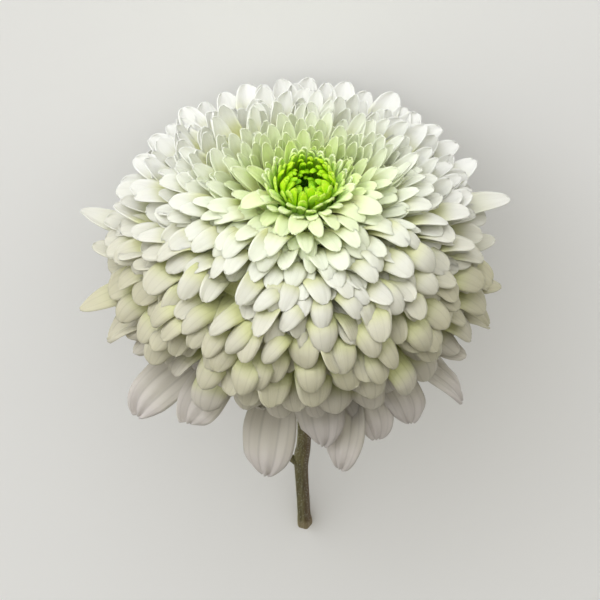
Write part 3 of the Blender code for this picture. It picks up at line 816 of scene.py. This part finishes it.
def petal_tree(name, outline, tapered, cupping, material):
    """The tree that turns plan points into blades. A petal's own taper mixes the two outlines."""
    settings = {"Rows across": 9, "Rows along": 21}
    settings |= {"Groove depth": 0.25 * MM, "Wave height": 1.4 * MM, "Notch": 0.012}
    tree, given = new_tree(name, "Plan", settings, "Petals")
    blades = blades_on(tree, given)

    # What each vertex knows
    side, share, width, curl, twist, arch, hook, taper, serial = (
        add(tree, NAMED, {"Name": title}, data_type="FLOAT")
        for title in ("side", "share", "width", "curl", "twist", "arch", "hook", "taper", "serial")
    )
    *row, hinge, across = (
        add(tree, NAMED, {"Name": title}, data_type="FLOAT_VECTOR") for title in (*MIDRIB, "hinge", "across")
    )

    # The tip is round at its corners and has a notch in the middle
    off = calc(tree, "ABSOLUTE", side)
    square = calc(tree, "MULTIPLY", side, side)
    middle = calc(tree, "SUBTRACT", NOTCH_REACH, off, use_clamp=True)
    notch = calc(tree, "MULTIPLY", middle, given["Notch"])
    corner = calc(tree, "MULTIPLY_ADD", square, CORNER_FALL, notch)
    corner = calc(tree, "MULTIPLY", corner, between(tree, share, TIP_FROM, 1.0, smooth=True))
    length = calc(tree, "SUBTRACT", share, corner)
    spine, crosswise, inward = bent_midrib(tree, length, row, hinge, across, curl, twist)

    # The width and the arch at this place
    blunt = draw_curve(add(tree, CURVE, {"Value": share}), outline)
    narrow = draw_curve(add(tree, CURVE, {"Value": share}), tapered)
    reach = mix(tree, taper, blunt, narrow, "FLOAT")
    reach = calc(tree, "MULTIPLY", reach, width)
    reach = calc(tree, "MULTIPLY", reach, 0.5)
    bend = draw_curve(add(tree, CURVE, {"Value": share}), cupping)
    bend = calc(tree, "MULTIPLY", bend, arch)
    hooked = calc(tree, "MULTIPLY", hook, between(tree, share, *HOOK_ZONE, smooth=True))
    bend = mix(tree, hooked, bend, HOOKED_BEND, "FLOAT")
    out, rise = arc_across(tree, side, reach, bend)

    # Two grooves run along the blade, and it waves a little
    groove = draw_curve(add(tree, CURVE, {"Value": off}), GROOVE_SHAPE)
    groove = calc(tree, "MULTIPLY", groove, given["Groove depth"])
    groove = calc(tree, "MULTIPLY_ADD", groove, share, rise)
    where = add(tree, "ShaderNodeCombineXYZ", {0: side, 1: share, 2: serial})
    wave = calc(tree, "SUBTRACT", noise(tree, where, WAVES, 1.5), 0.5)
    wave = calc(tree, "MULTIPLY", wave, given["Wave height"])
    loose = calc(tree, "MULTIPLY_ADD", square, *WAVE_GROWTH)
    loose = calc(tree, "MULTIPLY", loose, share)
    rise = calc(tree, "MULTIPLY_ADD", wave, loose, groove)

    moved = add(tree, VECTOR, {0: crosswise, "Scale": out}, operation="SCALE")
    lifted = add(tree, VECTOR, {0: inward, "Scale": rise}, operation="SCALE")
    place = add(tree, VECTOR, {0: spine, 1: moved}, operation="ADD")
    place = add(tree, VECTOR, {0: place, 1: lifted}, operation="ADD")
    blades = add(tree, "GeometryNodeSetPosition", {"Geometry": blades, "Position": place})
    end_tree(tree, add(tree, "GeometryNodeSetShadeSmooth", {"Geometry": blades}), material)
    return tree


# What the material needs of a petal. The rest is taken off the finished mesh.
KEPT_ATTRIBUTES = ("side", "share", "span", "taper", "age", "old", "tone", "serial")


def grow(name, plans, tree, thickness, settings):
    """Makes one plain mesh of all the petals of these plans."""
    mesh = bpy.data.meshes.new(name + "_plan")
    mesh.from_pydata([tuple(plan["base"]) for plan in plans], [], [])
    for title, value in plans[0].items():
        vector = isinstance(value, Vector)
        attribute = mesh.attributes.new(title, "FLOAT_VECTOR" if vector else "FLOAT", "POINT")
        values = np.array([plan[title][:] if vector else plan[title] for plan in plans], np.float32)
        attribute.data.foreach_set("vector" if vector else "value", values.ravel())
    piece = new_object(name, mesh)
    modifier = piece.modifiers.new("petals", "NODES")
    modifier.node_group = tree
    for item in tree.interface.items_tree:
        if item.name in settings:
            modifier[item.identifier] = settings[item.name]
    solid = piece.modifiers.new("thickness", "SOLIDIFY")
    solid.thickness = thickness
    solid.offset = 0.0
    graph = bpy.context.evaluated_depsgraph_get()
    made = bpy.data.meshes.new_from_object(piece.evaluated_get(graph))
    piece.modifiers.clear()
    piece.data = made
    made.name = name
    for attribute in list(made.attributes):
        if attribute.name in plans[0] and attribute.name not in KEPT_ATTRIBUTES:
            made.attributes.remove(attribute)
    return piece


print("each petal keeps", len(KEPT_ATTRIBUTES), "values for its material")

# %% [markdown]
# ## Petal material
#
# A white petal has no white pigment. It is a thin sheet of clear cells with air between them: light goes in,
# scatters and comes out nearby, so shadows in the bloom are soft. The surface is satin, because its cells end
# in small domes. Towards the claw, and in young petals, chlorophyll and a little yellow show through. The
# colours could be painted on, but then each of the 900 petals and florets would need its own painting. Here
# the values that every petal carries, such as its age and the place along its blade, choose the colour. Some
# of it is painted shade: the olive towards the claw also darkens the gaps between petals, and the cream and
# grey of old petals darken the lower petals and the side towards the camera.

# %% Material of petals and florets
# Painted shade along the grooves of a blade, as faint lines, by the place from its middle to its edge
PAINTED_GROOVE_SHADOWS = (
    (0.0, 0.0),
    (0.26, 0.0),
    (0.34, 1.0),
    (0.42, 0.0),
    (0.66, 0.0),
    (0.72, 0.6),
    (0.78, 0.0),
    (1.0, 0.0),
)

# The colour of a petal by its greenness, from the rim's white to the green of the heart
GREENING = (
    (0.0, "#F0F1EC"),
    (0.12, "#F4F7E8"),
    (0.26, "#EEF7D2"),
    (0.42, "#E0F3A8"),
    (0.56, "#C8EC5C"),
    (0.7, "#BEEC1C"),
    (0.86, "#AAE20C"),
    (1.0, "#82C40A"),
)

# Where along a blade its green sets in towards the claw and where it is full, and by how much it adds
CLAW_ZONE = (1.0, 0.35)
CLAW_GREEN = 0.1

# The ages between which a petal turns cream and then grey, and those colours. They are ageing, and also
# painted shade that darkens the lower petals and the side towards the camera.
CREAM_AND_SHADE_AGES = (0.0, 0.45)
CREAM_AND_SHADE = "#C0BCA2"
GREY_AND_SHADE_AGES = (0.6, 0.95)
GREY_AND_SHADE = "#BFB9B4"

# How far behind its tip a blade starts to take the colour of its root and has all of it, and what is left of
# that in a tapered blade. The olive is partly the root's own colour and partly painted shade in the gaps
# between petals.
ROOT_AND_GAP_SHADE_ZONE = (3.5 * MM, 12.0 * MM)
ROOT_AND_GAP_SHADE_IN_TAPERED = 0.1

# The least brightness of a blade, and what its own tone, its veins and, once old, the painted shade in its
# grooves add to it
LEAST_SHADE = 0.95
TONE_SHADE = 0.03
VEIN_SHADE = 0.04
GROOVE_PAINTED_SHADE = -0.15


def petal_material(name, root_and_gap_shade_colour, veins, sheen):
    """Petal tissue, white to green. The veins are counted over half a blade's width."""
    # Petals are satin, 0.5. Light goes about a millimetre sideways in them. With all of it scattered, thin
    # petals that overlap show grey patches, so half of it is.
    settings = {"Roughness": 0.52, "IOR": TISSUE_IOR, "Subsurface Weight": 0.5}
    settings |= {"Subsurface Radius": (1.0, 1.0, 0.9), "Subsurface Scale": 0.0012}
    settings |= {"Sheen Weight": sheen, "Sheen Roughness": 0.4}
    material = new_material(name, settings)
    tree = material.node_tree
    titles = ("age", "share", "tone", "side", "serial", "old", "span", "taper")
    age, share, tone, side, serial, old, span, taper = (carried(tree, title) for title in titles)

    # Young petals are greener, and each petal is greener towards its claw
    greenness = calc(tree, "ADD", age, between(tree, share, *CLAW_ZONE, 0.0, CLAW_GREEN))
    ramp = add(tree, "ShaderNodeValToRGB", {0: greenness})
    elements = ramp.node.color_ramp.elements
    for place, _ in GREENING[1:-1]:
        elements.new(place)
    for element, (_, shade) in zip(elements, GREENING):
        element.color = linear(shade)

    # Old petals turn cream and then grey: ageing, and painted shade on the lower petals and the side
    # towards the camera
    colour = mix(tree, between(tree, old, *CREAM_AND_SHADE_AGES), ramp, linear(CREAM_AND_SHADE))
    colour = mix(tree, between(tree, old, *GREY_AND_SHADE_AGES), colour, linear(GREY_AND_SHADE))

    # Towards the claw a blade takes the colour of its root, tapered ones less. That olive is partly the root's
    # own colour and partly painted shade in the gaps between petals.
    behind = calc(tree, "MULTIPLY", calc(tree, "SUBTRACT", 1.0, share), span)
    root_and_gap_shade = between(tree, behind, *ROOT_AND_GAP_SHADE_ZONE, smooth=True)
    root_and_gap_shade = calc(tree, "MULTIPLY", root_and_gap_shade, between(tree, taper, 0.0, 1.0, 1.0, ROOT_AND_GAP_SHADE_IN_TAPERED))
    colour = mix(tree, root_and_gap_shade, colour, linear(root_and_gap_shade_colour))

    # Fine veins and a slightly different white for each petal. Half a blade is about 4.5 mm wide, so 24 veins
    # lie 0.2 mm apart. The cells that make the satin are ten times finer and are left to the roughness.
    where = add(tree, "ShaderNodeCombineXYZ", {0: side, 1: share, 2: serial})
    vein = noise(tree, where, (veins, 1.6, 3.7), 2.0)
    shade = calc(tree, "MULTIPLY_ADD", tone, TONE_SHADE, LEAST_SHADE)
    shade = calc(tree, "MULTIPLY_ADD", vein, VEIN_SHADE, shade)
    # Painted shade in the grooves, stronger on old petals
    groove = draw_curve(add(tree, CURVE, {"Value": calc(tree, "ABSOLUTE", side)}), PAINTED_GROOVE_SHADOWS)
    groove = calc(tree, "MULTIPLY", groove, old)
    shade = calc(tree, "MULTIPLY_ADD", groove, GROOVE_PAINTED_SHADE, shade)
    colour = add(tree, VECTOR, {0: colour, "Scale": shade}, operation="SCALE")
    paint(tree, colour, vein, 0.35, 0.0003)
    return material


petal_white = petal_material("white petal tissue", "#CED196", 24.0, 0.08)
floret_green = petal_material("green floret tissue", "#88C032", 8.0, 0.0)
print("petal materials:", petal_white.name, "and", floret_green.name)

# %% [markdown]
# ## Growing the petals
#
# The bloom is made in layers, which keeps each piece light enough to be exported whole. Within a layer every
# petal is a closed skin of its own.

# %% Grow the white petals and the heart
def settle(piece, node):
    """Lays a finished piece down in place of this node of the frame."""
    lay_down(piece)
    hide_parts(node)
    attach(piece, "root")
    print(piece.name, sum(len(face.vertices) - 2 for face in piece.data.polygons), "triangles")


# Half widths of a blade along its length, for a blunt and for a tapered one, and how strongly it is arched
PETAL_OUTLINE = (
    (0.0, 0.36),
    (0.25, 0.56),
    (0.5, 0.86),
    (0.68, 0.98),
    (0.8, 1.0),
    (0.9, 0.94),
    (0.96, 0.78),
    (0.99, 0.54),
    (1.0, 0.3),
)
PETAL_CUPPING = ((0.0, 0.8), (0.5, 0.65), (0.74, 0.8), (0.86, 1.15), (0.95, 1.35), (1.0, 1.2))
TAPERED_OUTLINE = (
    (0.0, 0.36),
    (0.25, 0.5),
    (0.5, 0.84),
    (0.7, 1.0),
    (0.82, 0.95),
    (0.9, 0.8),
    (0.96, 0.56),
    (0.99, 0.36),
    (1.0, 0.18),
)
white_tree = petal_tree("white petals", PETAL_OUTLINE, TAPERED_OUTLINE, PETAL_CUPPING, petal_white)
floret_tree = petal_tree("green florets", PETAL_OUTLINE, TAPERED_OUTLINE, PETAL_CUPPING, floret_green)

# How thick petals, the larger ones that hang and the florets are
PETAL_THICKNESS = 0.28 * MM
HANGING_THICKNESS = 0.3 * MM
FLORET_THICKNESS = 0.6 * MM

# The layers of the dome from the rim to the crown, and the height of the waves in their petals
LAYERS = {
    "petals_rim": 1.8 * MM,
    "petals_side": 1.6 * MM,
    "petals_shoulder": 1.3 * MM,
    "petals_brow": 1.0 * MM,
    "petals_crown": 0.7 * MM,
}
rows = {"Rows across": 9, "Rows along": 22}
outer = {"Rows across": 17, "Rows along": 29, "Groove depth": 0.9 * MM, "Wave height": 3.0 * MM}
young = {"Rows across": 7, "Rows along": 17}
young |= {"Groove depth": 0.12 * MM, "Wave height": 0.5 * MM, "Notch": 0.02}
petal_pieces = [grow("petals_hanging", hanging, white_tree, HANGING_THICKNESS, outer)]
step = math.ceil(len(dome) / len(LAYERS))
groups = [("petals_belt", belt, LAYERS["petals_rim"])]
for layer, (name, waves) in enumerate(LAYERS.items()):
    groups.append((name, dome[layer * step : (layer + 1) * step], waves))
for name, plans, waves in groups:
    petal_pieces.append(grow(name, plans, white_tree, PETAL_THICKNESS, rows | {"Wave height": waves}))
heart_piece = grow("florets_heart", heart, floret_tree, FLORET_THICKNESS, young)
for piece in petal_pieces:
    settle(piece, "white_petals")
settle(heart_piece, "green_heart")

# %% [markdown]
# ## Stem, cup and middle of the bloom
#
# These three are skins stretched over rings, which suits whatever is round and changes slowly along its
# length. The stem's rings follow its slight bends, swell at the joint where a side shoot was taken off and
# widen into the cup under the bloom. The grower breaks side shoots off, so that all the strength goes to one
# bloom, and a stub like this one is left.

# %% Skins over rings
# Height, radius and sideways shift in mm of each ring, from the cut end up. The stub's heights are shares of
# its length instead.
STEM_RINGS = (
    (-146.9, 0.3, 2.3),
    (-146.9, 1.4, 2.3),
    (-147.0, 2.0, 2.3),
    (-146.6, 2.35, 2.3),
    (-145.8, 2.55, 2.3),
    (-143.5, 2.55, 2.2),
    (-140.5, 2.25, 2.0),
    (-132.0, 2.2, 1.7),
    (-122.0, 2.2, 1.3),
    (-113.0, 2.3, 1.0),
    (-109.0, 2.5, 1.0),
    (-105.0, 2.55, 1.3),
    (-100.0, 2.35, 1.8),
    (-90.0, 2.3, 2.0),
    (-75.0, 2.35, 1.7),
    (-60.0, 2.45, 1.0),
    (-49.0, 2.7, 0.4),
    (-42.5, 3.3, 0.1),
    (-39.0, 4.4, 0.0),
    (-36.8, 5.6, 0.0),
)

# The stem's low ribs: how many, how high in mm, and the radii between which they rise
STEM_RIBS = 5
RIB_HEIGHT = 0.16
RIB_RADII = (1.5, 2.2)
STUB_FOOT = Vector((1.0, 0.0, -109.5))
STUB_LEAN = Vector((-0.76, -0.15, 0.63)).normalized()
STUB_LENGTH = 5.6
STUB_RINGS = (
    (-0.1, 2.3, 0.0),
    (0.3, 2.0, 0.0),
    (0.6, 1.5, 0.0),
    (0.85, 1.1, 0.0),
    (1.0, 0.7, 0.0),
    (0.97, 0.2, 0.0),
)
CUP_RINGS = (
    (-37.2, 2.0, 0.0),
    (-36.5, 5.0, 0.0),
    (-35.0, 9.0, 0.0),
    (-32.0, 12.0, 0.0),
    (-29.0, 12.9, 0.0),
    (-26.0, 12.0, 0.0),
    (-25.0, 4.0, 0.0),
)
MIDDLE_RINGS = (
    (-29.5, 4.0, 0.0),
    (-29.0, 11.0, 0.0),
    (-24.5, 13.5, 0.0),
    (-19.5, 21.0, 0.0),
    (-13.0, 30.0, 0.0),
    (-4.0, 39.0, 0.0),
    (6.0, 39.0, 0.0),
    (15.0, 33.5, 0.0),
    (22.0, 24.0, 0.0),
    (26.0, 15.0, 0.0),
    (27.5, 7.0, 0.0),
    (27.5, 0.5, 0.0),
)


def smooth_rows(rows, steps):
    """The rows and more between them, on a smooth curve through them all."""
    rows = np.array(rows)
    padded = np.concatenate((rows[:1], rows, rows[-1:]))
    made = []
    for before, start, end, after in zip(padded, padded[1:], padded[2:], padded[3:]):
        for share in np.arange(steps) / steps:
            slope = (end - before) * share
            bow = (2 * before - 5 * start + 4 * end - after) * share**2
            made.append(start + 0.5 * (slope + bow + (3 * (start - end) + after - before) * share**3))
    return [*made, rows[-1]]


def skin(name, rows, sides, material, foot=Vector(), along=UP, length=1.0, ribs=0.0):
    """A closed skin over rings, each given as its height, radius and sideways shift in mm."""
    across = along.orthogonal().normalized() if along != UP else Vector((1.0, 0.0, 0.0))
    other = along.cross(across)
    shape = bmesh.new()
    rings = []
    for height, radius, shift in rows:
        ring = []
        for turn in np.arange(sides) * math.tau / sides:
            swell = radius + ribs * math.cos(STEM_RIBS * turn) * part_of(radius, *RIB_RADII)
            point = foot + along * height * length + across * (swell * math.cos(turn) + shift)
            ring.append(shape.verts.new((point + other * swell * math.sin(turn)) * MM))
        rings.append(ring)
    for low, high in zip(rings, rings[1:]):
        for corner in range(sides):
            after = (corner + 1) % sides
            shape.faces.new((low[corner], low[after], high[after], high[corner]))
    shape.faces.new(rings[0][::-1])
    shape.faces.new(rings[-1])
    mesh = bpy.data.meshes.new(name)
    shape.to_mesh(mesh)
    shape.free()
    upright = np.empty(len(mesh.vertices) * 3, np.float32)
    mesh.vertices.foreach_get("co", upright)
    mesh.attributes.new("upright", "FLOAT_VECTOR", "POINT").data.foreach_set("vector", upright / MM)
    mesh.polygons.foreach_set("use_smooth", [True] * len(mesh.polygons))
    mesh.materials.append(material)
    return new_object(name, mesh)


print("the stem is", round(STEM_RINGS[-1][0] - STEM_RINGS[0][0]), "mm long")

# %% [markdown]
# ## Bark, cup and claws
#
# The stem is green bark that is turning to wood. It is matt and brownish olive, redder on one side and paler
# where it swells at the end, with a dry, pale face where it was cut. Fibres run along it. One function makes
# all the surfaces of this kind: a noise that is stretched along the stem mixes two colours and raises slight
# bumps. The zones of colour are laid over it by the place in the upright flower, in mm, which every skin
# carries.

# %% Materials of stem, bracts and middle
def plant_material(name, low, high, roughness, streaks):
    """A living green surface: two colours mixed in long streaks, with a fine grain along them."""
    # Bark and leaf skin are matt, 0.5 to 0.6, because their wax is full of fine ridges. A little light goes
    # in.
    settings = {"Roughness": roughness, "IOR": TISSUE_IOR, "Subsurface Weight": 0.15}
    settings |= {"Subsurface Radius": (0.8, 1.0, 0.3), "Subsurface Scale": 0.001}
    material = new_material(name, settings)
    tree = material.node_tree
    streak = noise(tree, carried(tree, "upright", "Vector"), streaks, 4.0)
    colour = mix(tree, between(tree, streak, 0.3, 0.7), linear(low), linear(high))
    paint(tree, colour, streak, 0.6, 0.0004)
    return material


def lay_zones(material, *zones):
    """Lays zones of colour over a material, each as its axis, start and end in mm, strength and colour."""
    tree = material.node_tree
    socket = tree.nodes["Principled BSDF"].inputs["Base Color"]
    colour = socket.links[0].from_socket
    spot = add(tree, "ShaderNodeSeparateXYZ", {0: carried(tree, "upright", "Vector")}).node
    for axis, start, end, strength, shade in zones:
        share = between(tree, spot.outputs[axis], start, end, 0.0, strength)
        colour = mix(tree, share, colour, linear(shade))
    tree.links.new(colour, socket)


# Streaks of the stem are about 0.6 mm wide and 8 mm long, those of the cup 0.8 mm and 5 mm
stem_green = plant_material("woody green stem", "#4F4A2C", "#7C7650", 0.6, (1.6, 1.6, 0.12))
cup_green = plant_material("green cup skin", "#56662E", "#7E8A4A", 0.55, (1.2, 1.2, 0.2))
lay_zones(
    stem_green,
    ("X", 1.2, 3.8, 0.6, "#5A3626"),
    ("Z", -141.5, -143.5, 0.55, "#9C8F6C"),
    ("Z", -146.4, -146.8, 1.0, "#C9BE97"),
)

# The middle of the bloom stands for the imported claws of the florets: pale, and dark green under the young
# ones, a dark green that is partly their own and partly painted shade in the pit of the heart
middle_green = plant_material("packed floret claws", "#DEE298", "#F1F3C4", 0.6, (1.2, 1.2, 0.1))
lay_zones(middle_green, ("Z", 18.0, 25.0, 1.0, "#3F6E10"))
hair_white = plant_material("fine plant hair", "#C9C7AE", "#DEDCC8", 0.5, (1.0, 1.0, 1.0))
plant_materials = (stem_green, cup_green, middle_green, hair_white)
print("plant materials:", ", ".join(material.name for material in plant_materials))

# %% [markdown]
# ## Bract leaf
#
# The bracts are the small leaves that wrapped the bud. They are leathery and green, with veins along them and
# a dry, papery, light brown edge. The photograph hides them, so their colours are those of such flowers.
# Every blade carries its own place from edge to edge, and the papery edge is found by it.

# %% Material of the bracts
bract_green = new_material("green bract leaf", {"Roughness": 0.5, "IOR": TISSUE_IOR})
tree = bract_green.node_tree
side, share, serial = (carried(tree, title) for title in ("side", "share", "serial"))

# Half a bract is 2.7 mm wide, so 7 veins lie 0.4 mm apart
where = add(tree, "ShaderNodeCombineXYZ", {0: side, 1: share, 2: serial})
vein = noise(tree, where, (7.0, 1.5, 3.1), 3.0)
leaf = mix(tree, vein, linear("#56702E"), linear("#86994E"))
edge = between(tree, calc(tree, "ABSOLUTE", side), 0.66, 0.95, smooth=True)
paint(tree, mix(tree, edge, leaf, linear("#B9A679")), vein, 0.5, 0.0003)
print("bract material:", bract_green.name)

# %% [markdown]
# ## Hairs of the stem
#
# Bark of this kind carries short, soft, pale hairs, which blur its outline a little. A tree scatters points
# on the skin with a fixed seed and stands a thin cone on each, tilted a little at random. The real hairs are
# thinner and closer together. These are drawn coarser, 0.6 mm long, because they are solid pieces of mesh.

# %% Tree for hairs
# How far hairs tilt either way in radians, and their radii at the top and at the foot
HAIR_TILT = 0.6
HAIR_RADII = (0.005 * MM, 0.03 * MM)
settings = {"Hairs per square metre": 1.1e6, "Length": 0.6 * MM, "Seed": SEED}
hair_tree, given = new_tree("stem hairs", "Stem", settings, "Hairs")
spots = {"Mesh": given["Stem"], "Density": given["Hairs per square metre"], "Seed": given["Seed"]}
roots = add(hair_tree, "GeometryNodeDistributePointsOnFaces", spots)
upright = roots.node.outputs["Rotation"]
tilts = {0: (-HAIR_TILT, -HAIR_TILT, 0.0), 1: (HAIR_TILT, HAIR_TILT, 0.0)}
tilt = add(hair_tree, "FunctionNodeRandomValue", tilts, data_type="FLOAT_VECTOR")
tilt = add(hair_tree, "FunctionNodeEulerToRotation", {0: tilt})
tilt = add(hair_tree, "FunctionNodeRotateRotation", {0: upright, 1: tilt}, rotation_space="LOCAL")
thin = {"Vertices": 3, "Radius Top": HAIR_RADII[0], "Radius Bottom": HAIR_RADII[1], "Depth": given["Length"]}
hair = add(hair_tree, "GeometryNodeMeshCone", thin)
hairs = add(hair_tree, "GeometryNodeInstanceOnPoints", {"Points": roots, "Instance": hair, "Rotation": tilt})
end_tree(hair_tree, hairs, hair_white)
print("hair tree with", len(hair_tree.nodes), "nodes")

# %% [markdown]
# ## The stem and its stub
#
# The stem and the stub are two skins, which run into each other at the joint. The hairs are grown on a copy
# of the stem's mesh before it is laid down, and only the hairs are kept of that copy.

# %% Stem, stub and hairs
stalk = skin("stalk", smooth_rows(STEM_RINGS, 6), 60, stem_green, ribs=RIB_HEIGHT)
stub = skin("stub", smooth_rows(STUB_RINGS, 5), 30, stem_green, STUB_FOOT, STUB_LEAN, STUB_LENGTH)
hair_piece = new_object("stem_hairs", stalk.data.copy())
hair_piece.modifiers.new("hairs", "NODES").node_group = hair_tree
graph = bpy.context.evaluated_depsgraph_get()
hair_piece.data = bpy.data.meshes.new_from_object(hair_piece.evaluated_get(graph))
hair_piece.modifiers.clear()
for piece in (stalk, stub, hair_piece):
    settle(piece, "stem")

# %% [markdown]
# ## Bracts and their cup
#
# Two whorls of bracts lie on a smooth cup, where the stem widens into the bloom. They are made with the tree
# of the petals, with a pointed outline and no notch.

# %% Bracts and their cup
# Count of each whorl, then reach and height of the tips and width of the bracts in mm
BRACT_WHORLS = ((13, 16.5, -29.9, 5.4), (11, 13.6, -33.2, 4.8))

# The reach in mm that they grow at, how far below the tips that is, the latitude and values that all share,
# and how far they are off their places: as a share of the step round, and as factors of the reach
BRACT_ROOT = 7.0
BRACT_RISE = 3.5
BRACT_LATITUDE = -10.0
BRACT_OWN = {"curl": 0.0, "arch": 0.6, "sway": 0.0, "angle": math.radians(38.0)}
BRACT_SPREAD = 0.12
BRACT_REACHES = (0.95, 1.03)
BRACT_OUTLINE = ((0.0, 0.9), (0.3, 1.0), (0.6, 0.92), (0.8, 0.66), (0.93, 0.32), (1.0, 0.04))
bract_tree = petal_tree("bracts", BRACT_OUTLINE, BRACT_OUTLINE, PETAL_CUPPING, bract_green)
bracts = []
for whorl, (count, reach, height, width) in enumerate(BRACT_WHORLS):
    for number in range(count):
        serial = WHORL_SERIALS * whorl + number
        draw = random.Random(SEED * 900 + serial)
        azimuth = math.tau * (number + 0.5 * whorl + draw.uniform(-BRACT_SPREAD, BRACT_SPREAD)) / count
        tip = reach * draw.uniform(*BRACT_REACHES) * MM, height * MM
        own = {"root": Vector((BRACT_ROOT, height - BRACT_RISE)) * MM, "width": width * MM, **BRACT_OWN}
        bracts.append(petal(BRACT_SERIAL + serial, azimuth, *tip, BRACT_LATITUDE, **own))
leaf = {"Rows across": 9, "Rows along": 17, "Groove depth": 0.00015, "Wave height": 0.0006, "Notch": 0.0}
bract_piece = grow("bracts", bracts, bract_tree, 0.0005, leaf)
cup = skin("cup", smooth_rows(CUP_RINGS, 6), 48, cup_green)
settle(bract_piece, "green_bracts")
settle(cup, "green_bracts")

# %% [markdown]
# ## Middle of the bloom
#
# Between the petals one would look through to the other side, because only their blades are modelled in full.
# In the real bloom hundreds of claws are packed there. A plain skin stands for them, well below the tips.

# %% Middle of the bloom
middle = skin("bloom_middle", smooth_rows(MIDDLE_RINGS, 4), 48, middle_green)
settle(middle, "white_petals")

# %% [markdown]
# ## Floor and light
#
# The flower was photographed in soft light from above its face, which leaves the hanging petals greyer than
# the crown. A large lamp stands beyond the crown and a weak one in front. The sky is brighter towards the
# crown too, which lights the hollows between petals and keeps their shadows soft.

# %% Floor and light
floor_mesh = bpy.data.meshes.new("floor")
floor_mesh.from_pydata([(-4, -4, 0), (4, -4, 0), (4, 4, 0), (-4, 4, 0)], [], [(0, 1, 2, 3)])
floor = new_object("floor", floor_mesh)
pale = new_material("pale matt floor", {"Base Color": linear("#F2F2F0"), "Roughness": 0.9})
floor_mesh.materials.append(pale)


def soft_light(name, towards, distance, size, power, colour):
    """A square area light that shines on the bloom from this direction."""
    data = bpy.data.lights.new(name, "AREA")
    data.size = size
    data.energy = power
    data.color = linear(colour)[:3]
    lamp = new_object(name, data)
    away = Vector(towards).normalized()
    lamp.location = BLOOM_CENTRE + away * distance
    lamp.rotation_mode = "QUATERNION"
    lamp.rotation_quaternion = away.to_track_quat("Z", "Y")


soft_light("key", (-0.55, 1.0, 0.15), 1.8, 2.6, 30.0, "#FBFCFF")
soft_light("front", (0.0, 0.50, 0.87), 2.0, 1.8, 0.8, "#FFFAEE")
world = bpy.data.worlds.new("studio")
bpy.context.scene.world = world
world.use_nodes = True
sky = world.node_tree
facing = add(sky, VECTOR, {0: add(sky, "ShaderNodeTexCoord"), 1: (-0.34, 0.92, 0.2)}, operation="DOT_PRODUCT")
facing = between(sky, facing.node.outputs["Value"], -0.15, 1.0)
tint = mix(sky, facing, linear("#FAF6EA"), linear("#FBFCFF"))
strength = between(sky, facing, 0.0, 1.0, 0.26, 1.65)
sky.links.new(tint, sky.nodes["Background"].inputs["Color"])
sky.links.new(strength, sky.nodes["Background"].inputs["Strength"])
bpy.context.scene.view_settings.view_transform = "Standard"
print("lamps:", ", ".join(item.name for item in bpy.data.lights))
